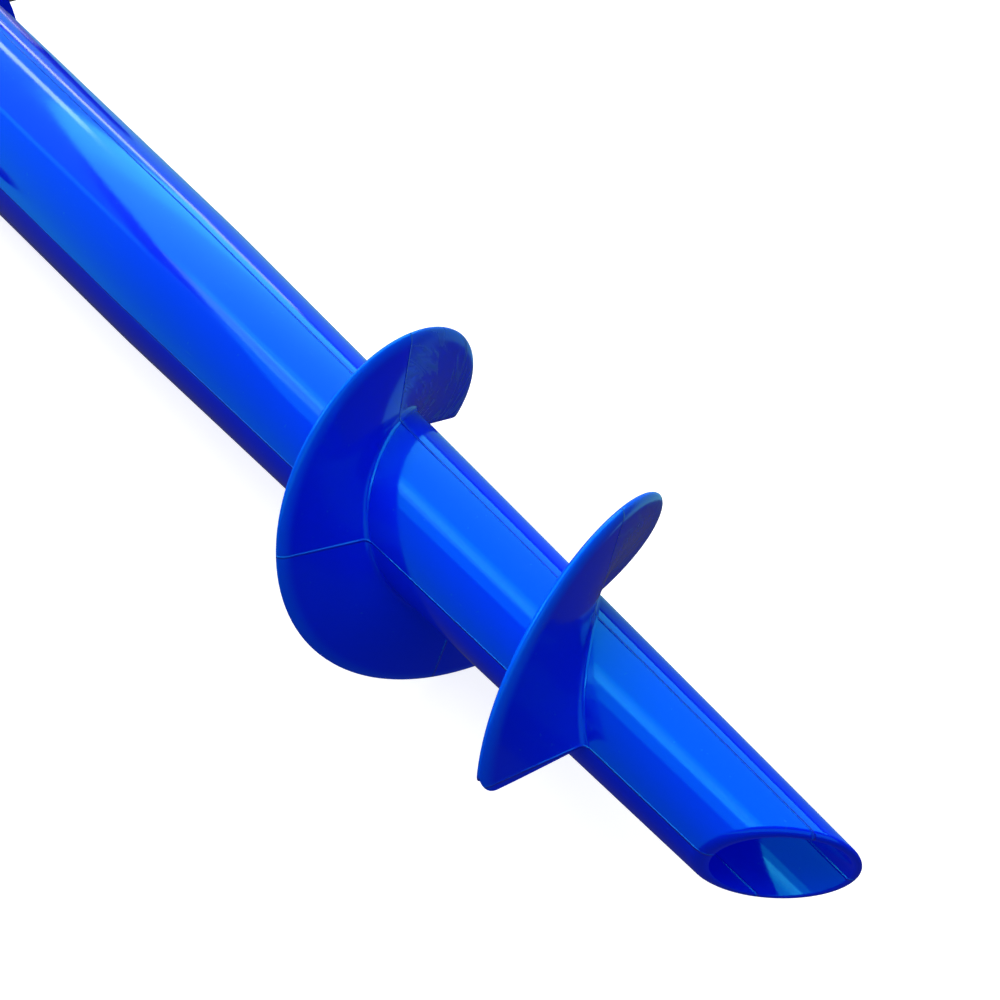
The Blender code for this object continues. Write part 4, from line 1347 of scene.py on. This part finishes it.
# ---- clamp ----------------------------------------------------------------------------------
@dataclass
class Clamp:
    """The hand screw that locks the handle, with its brass pad and insert."""

    bench: Bench
    radius: float = 0.004
    pitch: float = 0.00125
    depth: float = 0.00045
    point: float = 0.0025
    knob_radius: float = 0.016
    knob_height: float = 0.013
    stand_off: float = 0.0035
    lobes: int = 5
    hub_half: float = 0.040
    insert_wall: float = 0.0022
    insert_length: float = 0.011
    pad_base: float = 0.0113
    pad_height: float = 0.003
    gap: float = 0.0003

    def thread(self, low: float, high: float) -> bmesh.types.BMesh:
        """Makes the threaded rod with a plain dog point.

        Args:
            low: its inner end.
            high: its outer end.

        Returns:
            The rod's mesh.
        """
        rows = round((high - low) / self.pitch * 8)
        step = (high - low - 0.0004) / rows
        profile = [(0.0, high), *((self.radius, high - step * row) for row in range(rows + 1)),
                   (self.radius * 0.85, low), (0.0, low)]
        bm = Bench.turn(profile, 64)

        def groove(spun: float, angle: float, place: float) -> float:
            """Cuts the thread's groove.

            Args:
                spun: a vertex's radius.
                angle: its angle.
                place: its height.

            Returns:
                Its new radius.
            """
            if abs(spun - self.radius) >= 1e-6 or place <= low + self.point:
                return spun
            phase = (place / self.pitch - angle / (2 * math.pi)) % 1.0
            return spun - self.depth * min(1.0, 1.3 * (1 - abs(2 * phase - 1)))

        Bench.reshape(bm, groove)
        return bm

    def knob(self, base: float, screw_top: float) -> bmesh.types.BMesh:
        """Makes the lobed knob with a dished top and a hollow for the screw.

        Args:
            base: its underside.
            screw_top: where the screw in it ends.

        Returns:
            The knob's mesh.
        """
        top, size, hole = base + self.knob_height, self.knob_radius, self.radius + self.gap
        profile = [(0.0, top - 0.0012), (size * 0.30, top - 0.0011), (size * 0.46, top - 0.0003),
                   (size * 0.62, top), (size * 0.80, top - 0.0004), (size * 0.93, top - 0.0017),
                   (size * 0.99, top - 0.0040), (size, top - 0.0065), (size * 0.99, base + 0.0030),
                   (size * 0.95, base + 0.0012), (size * 0.88, base + 0.0002), (size * 0.50, base),
                   (hole, base), (hole, screw_top + self.gap), (0.0, screw_top + self.gap)]
        bm = Bench.turn(profile, 150)

        def lobed(spun: float, angle: float, place: float) -> float:
            """Draws the outer part in between the lobes.

            Args:
                spun: a vertex's radius.
                angle: its angle.
                place: its height.

            Returns:
                Its new radius.
            """
            weight = limit((spun / size - 0.45) / 0.5) ** 2
            return spun - size / 8 * (1 - math.cos(self.lobes * angle)) * weight

        Bench.reshape(bm, lobed)
        return bm

    def build(self) -> None:
        """Makes the clamp's pieces and hands them over."""
        deliver, seat = self.bench.deliver, Seat(self.bench.middle("handle_bar"), Facing.OUT)
        knob_base = self.hub_half + self.stand_off
        screw_top = knob_base + self.knob_height * 0.6
        pad_top = self.pad_base + self.pad_height
        screw = self.thread(pad_top + self.gap, screw_top)
        deliver("clamp_screw", screw, Coat.TURNED_STEEL, "clamp", seat, weighted=False)
        deliver("clamp_knob", self.knob(knob_base, screw_top), Coat.BLACK, "clamp", seat, weighted=False)
        hole, top = self.radius + self.gap, self.hub_half - self.gap
        insert = Bench.ring(hole, hole + self.insert_wall, top - self.insert_length, top, 64)
        Bench.break_edges(insert, 0.0003, 3)
        deliver("thread_insert", insert, Coat.BRASS, "anchor", seat)
        pad = Bench.pin(self.radius - self.gap, self.pad_base, pad_top, 64)
        Bench.break_edges(pad, 0.0004, 3)
        deliver("clamp_pad", pad, Coat.BRASS, "clamp_foot", seat)


# ---- bearings and spindle -------------------------------------------------------------------
@dataclass
class Spindle:
    """The free-turning pole pin with its rain skirt, rings, bearings and their housing."""

    bench: Bench
    shaft_radius: float = 0.010
    shoulder_radius: float = 0.012
    groove_depth: float = 0.0008
    o_ring_radius: float = 0.0014
    skirt_radius: float = 0.038
    skirt_wall: float = 0.002
    skirt_plate: float = 0.0025
    flange_radius: float = 0.035
    flange: float = 0.003
    lid_circle: float = 0.031
    lid_hole: float = 0.0022
    cartridge_bore: float = 0.0213
    cartridge_wall: float = 0.0057
    cartridge_lip: float = 0.003
    outer_bore: float = 0.0176
    outer_radius: float = 0.0210
    inner_bore: float = 0.0103
    inner_radius: float = 0.0137
    ball_radius: float = 0.0032
    ball_circle: float = 0.01565
    balls: int = 8
    cage_wall: float = 0.0012
    seal_radius: float = 0.0147
    gap: float = 0.0003

    def hand(self, node: str, profile: Sequence[Point], coat: Coat, body: str, rounding: float = 0.0003,
             closed: bool = True) -> None:
        """Turns a plain ring or disc, rounds its edges and hands it over.

        Args:
            node: the CAD node that it stands for.
            profile: (radius, height) points.
            coat: its finish.
            body: the body that it rides on.
            rounding: how wide its edges are rounded.
            closed: joins the last point to the first.
        """
        bm = Bench.turn(profile, 128, closed)
        Bench.break_edges(bm, rounding, 3)
        self.bench.deliver(node, bm, coat, body)

    def shaft(self) -> None:
        """Makes the pin with its bullet nose, its grooves and its shoulder."""
        foot, end = self.bench.axis.span("spindle_shaft")
        skirt_top = self.bench.axis.span("rain_skirt")[1]
        ring_low, ring_high = self.bench.axis.span("retaining_ring")
        bearing_top = self.bench.axis.span("inner_race_upper")[1]
        radius, groove = self.shaft_radius, self.shaft_radius - self.groove_depth
        profile: list[Point] = [(0.0, end)]
        for step in range(1, 9):
            turn = math.pi / 2 * step / 8
            profile.append((radius * (0.42 + 0.58 * math.sin(turn)), end - radius * (1 - math.cos(turn))))
        for name in ("o_ring_upper", "o_ring_lower"):
            middle, sink = self.bench.middle(name), radius - self.o_ring_radius
            reach = self.o_ring_radius + self.gap
            profile += [(radius, middle + reach), (sink, middle + reach), (sink, middle - reach),
                        (radius, middle - reach)]
        profile += [(radius, skirt_top), (self.shoulder_radius, skirt_top),
                    (self.shoulder_radius, bearing_top + self.gap), (radius, bearing_top + self.gap),
                    (radius, ring_high + 0.0001), (groove, ring_high + 0.0001), (groove, ring_low - 0.0001),
                    (radius, ring_low - 0.0001), (radius, foot), (0.0, foot)]
        self.hand("spindle_shaft", profile, Coat.TURNED_STEEL, "spindle", closed=False)

    def skirt(self) -> None:
        """Makes the rain skirt, a thin cup with a soft edge and a raised boss round the pin."""
        base, top = self.bench.axis.span("rain_skirt")
        bore = self.shoulder_radius + self.gap
        under = top - self.skirt_plate
        profile = [(bore, top), (bore + 0.004, top), (bore + 0.006, top - 0.0005),
                   (self.skirt_radius - 0.003, top - 0.0009), (self.skirt_radius - 0.0008, top - 0.0018),
                   (self.skirt_radius, top - 0.0034), (self.skirt_radius, base),
                   (self.skirt_radius - self.skirt_wall, base), (self.skirt_radius - self.skirt_wall, under),
                   (bore, under)]
        self.hand("rain_skirt", profile, Coat.BLACK, "spindle")

    def rubber_rings(self) -> None:
        """Makes the two O-rings and the dust seal with its lips."""
        for name in ("o_ring_upper", "o_ring_lower"):
            low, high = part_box(name)
            middle, outside, thick = self.bench.middle(name), (high.z - low.z) / 2, (high.x - low.x) / 2
            turns = [2 * math.pi * step / 20 for step in range(20)]
            loop = [(outside - thick + thick * math.cos(t), middle + thick * math.sin(t)) for t in turns]
            self.bench.deliver(name, Bench.turn(loop, 96, closed=True), Coat.RUBBER, "spindle", weighted=False)
        base, top = self.bench.axis.span("dust_seal")
        bore, middle = self.shoulder_radius + self.gap, (base + top) / 2
        lips = [(bore + 0.0008, top), (self.seal_radius, top), (self.seal_radius, base), (bore + 0.0008, base),
                (bore, base + 0.0006), (bore + 0.0005, middle), (bore, top - 0.0006)]
        self.hand("dust_seal", lips, Coat.RUBBER, "anchor", 0.0002)

    def housing(self) -> None:
        """Makes the flanged cartridge and its cover, with the holes of the cover's screws."""
        base, top = self.bench.axis.span("bearing_cartridge")
        cover_base_tip, cover_top = self.bench.axis.span("bearing_cover")
        flange_base, cover_base = top - self.flange, cover_top - self.flange
        radius, lip = self.cartridge_bore + self.cartridge_wall, self.outer_bore - self.gap
        cartridge = Bench.turn(
            [(self.cartridge_bore, top), (self.flange_radius, top), (self.flange_radius, flange_base),
             (radius, flange_base), (radius, base), (lip, base), (lip, base + self.cartridge_lip),
             (self.cartridge_bore, base + self.cartridge_lip)], 128, closed=True)
        bore, nose = self.seal_radius + self.gap, self.outer_radius - self.gap
        cover = Bench.turn(
            [(bore, cover_top), (self.flange_radius, cover_top), (self.flange_radius, cover_base),
             (nose, cover_base), (nose, cover_base_tip), (self.outer_bore + self.gap, cover_base_tip),
             (self.outer_bore + self.gap, cover_base), (bore, cover_base)], 128, closed=True)
        for name, bm, low, high in (("bearing_cartridge", cartridge, flange_base, top),
                                    ("bearing_cover", cover, cover_base, cover_top)):
            seats = [Seat(0.0, Facing.SPINDLE, math.radians(45 + 90 * n), self.lid_circle) for n in range(4)]
            holes = [Bench.pin(self.lid_hole, low - 0.002, high + 0.002, 24, seat) for seat in seats]
            bm = self.bench.cut(bm, holes)
            Bench.break_edges(bm, 0.0003, 2)
            self.bench.deliver(name, bm, Coat.BLACK, "anchor")

    def groove(self, sign: int, middle: float) -> list[Point]:
        """Draws a ball groove, top to bottom.

        Args:
            sign: -1 for the inner race and 1 for the outer one.
            middle: the height of the balls.

        Returns:
            The groove's points.
        """
        radius = self.ball_radius + self.gap
        reach = math.acos((self.outer_bore - self.inner_radius) / 2 / radius)
        turns = [reach * (1 - step / 5) for step in range(11)]
        return [(self.ball_circle + sign * radius * math.cos(t), middle + radius * math.sin(t)) for t in turns]

    def bearing(self, where: str) -> None:
        """Makes one ball bearing.

        Args:
            where: lower or upper, as its nodes are named.
        """
        base, top = self.bench.axis.span(f"inner_race_{where}")
        middle = (base + top) / 2
        inner = [(self.inner_bore, top), (self.inner_radius, top), *self.groove(-1, middle),
                 (self.inner_radius, base), (self.inner_bore, base)]
        outer = [(self.outer_bore, top), (self.outer_radius, top), (self.outer_radius, base),
                 (self.outer_bore, base), *reversed(self.groove(1, middle))]
        self.hand(f"inner_race_{where}", inner, Coat.TURNED_STEEL, "spindle")
        self.hand(f"outer_race_{where}", outer, Coat.TURNED_STEEL, "anchor")
        circle, angles = self.ball_circle, [2 * math.pi * (n + 0.5) / self.balls for n in range(self.balls)]
        balls = bmesh.new()
        for angle in angles:
            at = Vector((circle * math.cos(angle), circle * math.sin(angle), middle))
            bmesh.ops.create_icosphere(balls, subdivisions=4, radius=self.ball_radius * 0.995,
                                       matrix=Matrix.Translation(at))
        names = [f"ball_{where}_{number + 1}" for number in range(self.balls)]
        self.bench.deliver(f"balls_{where}", balls, Coat.TURNED_STEEL, f"ball_set_{where}", weighted=False,
                           nodes=names)
        low, high = self.bench.axis.span(f"ball_cage_{where}")
        cage = Bench.ring(circle - self.cage_wall / 2, circle + self.cage_wall / 2, low, high, 120)
        pocket, deep = self.ball_radius + self.gap, 2 * self.cage_wall
        cage = self.bench.cut(cage, [Bench.pin(pocket, circle - deep, circle + deep, 32,
                                               Seat(middle, Facing.OUT, angle)) for angle in angles])
        Bench.break_edges(cage, 0.00015, 2)
        self.bench.deliver(f"ball_cage_{where}", cage, Coat.BRASS, f"ball_set_{where}")

    def spacers(self) -> None:
        """Makes the rings between the bearings."""
        low, high = self.bench.axis.span("outer_spacer")
        near = self.outer_radius - (self.outer_radius - self.outer_bore) / 2
        outer = [(near, high), (self.outer_radius, high), (self.outer_radius, low), (near, low)]
        self.hand("outer_spacer", outer, Coat.TURNED_STEEL, "anchor")
        far = self.inner_radius - (self.inner_radius - self.inner_bore) / 3
        inner = [(self.inner_bore, high), (far, high), (far, low), (self.inner_bore, low)]
        self.hand("inner_spacer", inner, Coat.TURNED_STEEL, "spindle")

    def build(self) -> None:
        """Makes the whole spindle unit and hands it over."""
        self.shaft()
        self.skirt()
        self.rubber_rings()
        self.housing()
        for where in ("lower", "upper"):
            self.bearing(where)
        self.spacers()
        self.bench.dress(Coat.TURNED_STEEL, "retaining_ring")
        self.bench.dress(Coat.BLACK, "sand_bung")


# ---- studio ---------------------------------------------------------------------------------
class LightTask(Enum):
    """What a light is hung for."""

    FILL = "shade on everything"
    BLUE_SHINE = "shine on the blue plastic"
    OTHER_SHINE = "shine on metal, rubber and black plastic"


@dataclass(frozen=True)
class SoftBox:
    """A rectangular soft light beside the anchor, its long side along the anchor's axis.

    facing: degrees round the axis, from straight up towards +Y.
    reach: where it begins and ends along the axis, in metres from the target.
    arc: the degrees round the axis that it covers, seen from the axis.
    tilt: degrees that the whole box is turned about the Y axis.
    """

    name: str
    facing: float
    distance: float
    reach: tuple[float, float]
    arc: tuple[float, float]
    radiance: float
    task: LightTask
    colour: tuple[float, float, float] = (1.0, 1.0, 1.0)
    tilt: float = 0.0

    def place(self, target: Vector, receivers: bpy.types.Collection | None) -> None:
        """Hangs the light.

        Args:
            target: the point on the axis that it stands beside.
            receivers: the pieces that it falls on, or None for everything.
        """
        lean, around = math.radians(-self.tilt), math.radians(-self.facing)
        turned = Matrix.Rotation(lean, 3, "Y") @ Matrix.Rotation(around, 3, "X")
        side, tall, out = (turned @ Vector(v) for v in ((1, 0, 0), (0, 1, 0), (0, 0, 1)))
        low, high = (self.distance * math.tan(math.radians(a - self.facing)) for a in self.arc)
        near, far = self.reach
        light = bpy.data.lights.new(self.name, "AREA")
        light.shape, light.size, light.size_y = "RECTANGLE", far - near, high - low
        light.energy = self.radiance * math.pi * light.size * light.size_y
        light.color = self.colour
        lamp = bpy.data.objects.new(self.name, light)
        middle = target + out * self.distance + side * (near + far) / 2 + tall * (low + high) / 2
        lamp.matrix_world = Matrix.Translation(middle) @ turned.to_4x4()
        lamp.visible_camera = False
        lamp.visible_diffuse = self.task is LightTask.FILL
        lamp.visible_glossy = self.task is not LightTask.FILL
        lamp.light_linking.receiver_collection = receivers
        bpy.context.scene.collection.objects.link(lamp)


@dataclass
class Studio:
    """A pale floor, soft light and the camera."""

    axis: AnchorAxis
    floor_size: float = 70.0
    camera_from_tip: tuple[float, float, float] = (0.02220, -0.09742, 0.19120)
    camera_turn: tuple[float, float, float] = (43.571, -0.480, 50.833)
    lens: float = 37.98
    world: Colour = (0.80, 0.86, 1.0, 1.0)
    world_strength: float = 0.32
    backdrop_strength: float = 1.25
    mirrored_strength: float = 0.07

    def floor(self) -> None:
        """Lays the floor that the anchor rests on."""
        bm = bmesh.new()
        bmesh.ops.create_grid(bm, x_segments=8, y_segments=8, size=self.floor_size / 2)
        mesh = bpy.data.meshes.new("studio_floor")
        bm.to_mesh(mesh)
        bm.free()
        mesh.materials.append(PaleFloor("pale_floor").make())
        plane = bpy.data.objects.new("studio_floor", mesh)
        bpy.context.scene.collection.objects.link(plane)
        plane.visible_glossy = plane.visible_diffuse = False

    def sky(self) -> None:
        """Sets the even light of the room."""
        world = bpy.data.worlds.new("room")
        desk = NodeDesk(world, "Background")
        strength: Number = self.world_strength
        for ray, value in (("Is Glossy Ray", self.mirrored_strength),
                           ("Is Camera Ray", self.backdrop_strength)):
            seen = desk.node("ShaderNodeLightPath", output=ray)
            strength = seen * value + (1.0 - seen) * strength
        desk.set_shader(Color=self.world, Strength=strength)
        bpy.context.scene.world = world

    def receivers(self) -> dict[LightTask, bpy.types.Collection]:
        """Sorts the pieces by the lights that shine on them.

        Returns:
            The pieces of each kind of shine.
        """
        groups = {task: bpy.data.collections.new(task.value)
                  for task in (LightTask.BLUE_SHINE, LightTask.OTHER_SHINE)}
        for piece in bpy.data.objects:
            if piece.type == "MESH":
                blue = any(slot.material and "blue" in slot.material.name for slot in piece.material_slots)
                groups[LightTask.BLUE_SHINE if blue else LightTask.OTHER_SHINE].objects.link(piece)
        return groups

    def lights(self) -> None:
        """Hangs the soft lights."""
        target = Vector((self.axis.tip_x - 0.15, 0.0, self.axis.height))
        shine, other = LightTask.BLUE_SHINE, LightTask.OTHER_SHINE
        sky_blue, near_white = (0.14, 0.88, 1.0), (0.90, 0.97, 1.0)
        boxes = [
            SoftBox("overhead", 5.8, 1.78, (-1.1, 1.1), (-23.5, 35.1), 3.6, LightTask.FILL, tilt=24.0),
            SoftBox("window", 35.0, 2.0, (-3.4, 0.6), (-25.0, 75.0), 3.1, shine, sky_blue),
            SoftBox("window_edge", 35.0, 2.0, (-3.4, 0.6), (-27.0, -12.0), 2.2, shine, near_white),
            SoftBox("window_haze", 5.0, 2.0, (-2.2, 0.6), (-42.0, -6.0), 1.5, shine, sky_blue),
            SoftBox("window_end", 35.0, 2.0, (-3.4, -2.4), (-20.0, 40.0), 2.4, shine, near_white),
            SoftBox("far_sheet", 10.0, 2.0, (-8.0, -3.0), (-30.0, 78.0), 0.90, shine, (0.08, 0.85, 1.0)),
            SoftBox("far_strip", 44.0, 2.0, (-8.0, -3.2), (40.0, 47.0), 3.4, shine, near_white),
            SoftBox("side_strip", 70.0, 2.0, (-8.0, -1.9), (75.0, 80.0), 2.8, shine, near_white),
            SoftBox("left_sheet", -70.0, 2.0, (-7.0, 0.5), (-118.0, -25.0), 0.86, shine, (0.0, 0.85, 1.0)),
            SoftBox("right_sheet", 100.0, 2.0, (-7.0, 0.5), (81.0, 135.0), 0.50, shine, (0.20, 0.90, 1.0)),
            SoftBox("tip_side_sheet", 10.0, 2.0, (1.8, 8.0), (-70.0, 60.0), 1.0, shine, (0.30, 0.90, 1.0)),
            SoftBox("metal_window", -10.0, 1.6, (-3.5, 1.5), (-55.0, 30.0), 1.9, other, (0.97, 0.98, 1.0)),
            SoftBox("metal_left", -95.0, 1.6, (-4.0, 3.0), (-150.0, -58.0), 0.62, other, (0.97, 0.98, 1.0)),
            SoftBox("metal_right", 95.0, 1.6, (-4.0, 3.0), (40.0, 150.0), 0.62, other, (0.97, 0.98, 1.0)),
        ]
        groups = self.receivers()
        for box in boxes:
            box.place(target, groups.get(box.task))

    def camera(self) -> None:
        """Sets the camera up, in line with the tip."""
        data = bpy.data.cameras.new("camera")
        data.lens, data.sensor_width = self.lens, 36.0
        data.clip_start, data.clip_end = 0.01, 50.0
        eye = bpy.data.objects.new("camera", data)
        x, y, z = self.camera_from_tip
        eye.location = (self.axis.tip_x + x, y, self.axis.height + z)
        eye.rotation_euler = tuple(math.radians(a) for a in self.camera_turn)
        bpy.context.scene.collection.objects.link(eye)
        bpy.context.scene.camera = eye

    def build(self) -> None:
        """Sets the whole studio up."""
        bpy.context.scene.view_settings.view_transform = "Standard"
        self.floor()
        self.sky()
        self.lights()
        self.camera()


def main() -> None:
    """Builds the anchor sub-assembly by sub-assembly, and its studio."""
    logging.basicConfig(level=logging.INFO, format="%(name)s: %(message)s")
    axis = AnchorAxis.from_frame()
    bench = Bench(axis, make_coats(axis.height))
    for assembly in (Auger(bench), Hub(bench), Screws(bench), Handle(bench), Clamp(bench), Spindle(bench)):
        LOG.info("-- %s", type(assembly).__name__)
        assembly.build()
    Studio(axis).build()
    LOG.info("%d pieces made", len(bench.made))


if __name__ == "__main__":
    main()
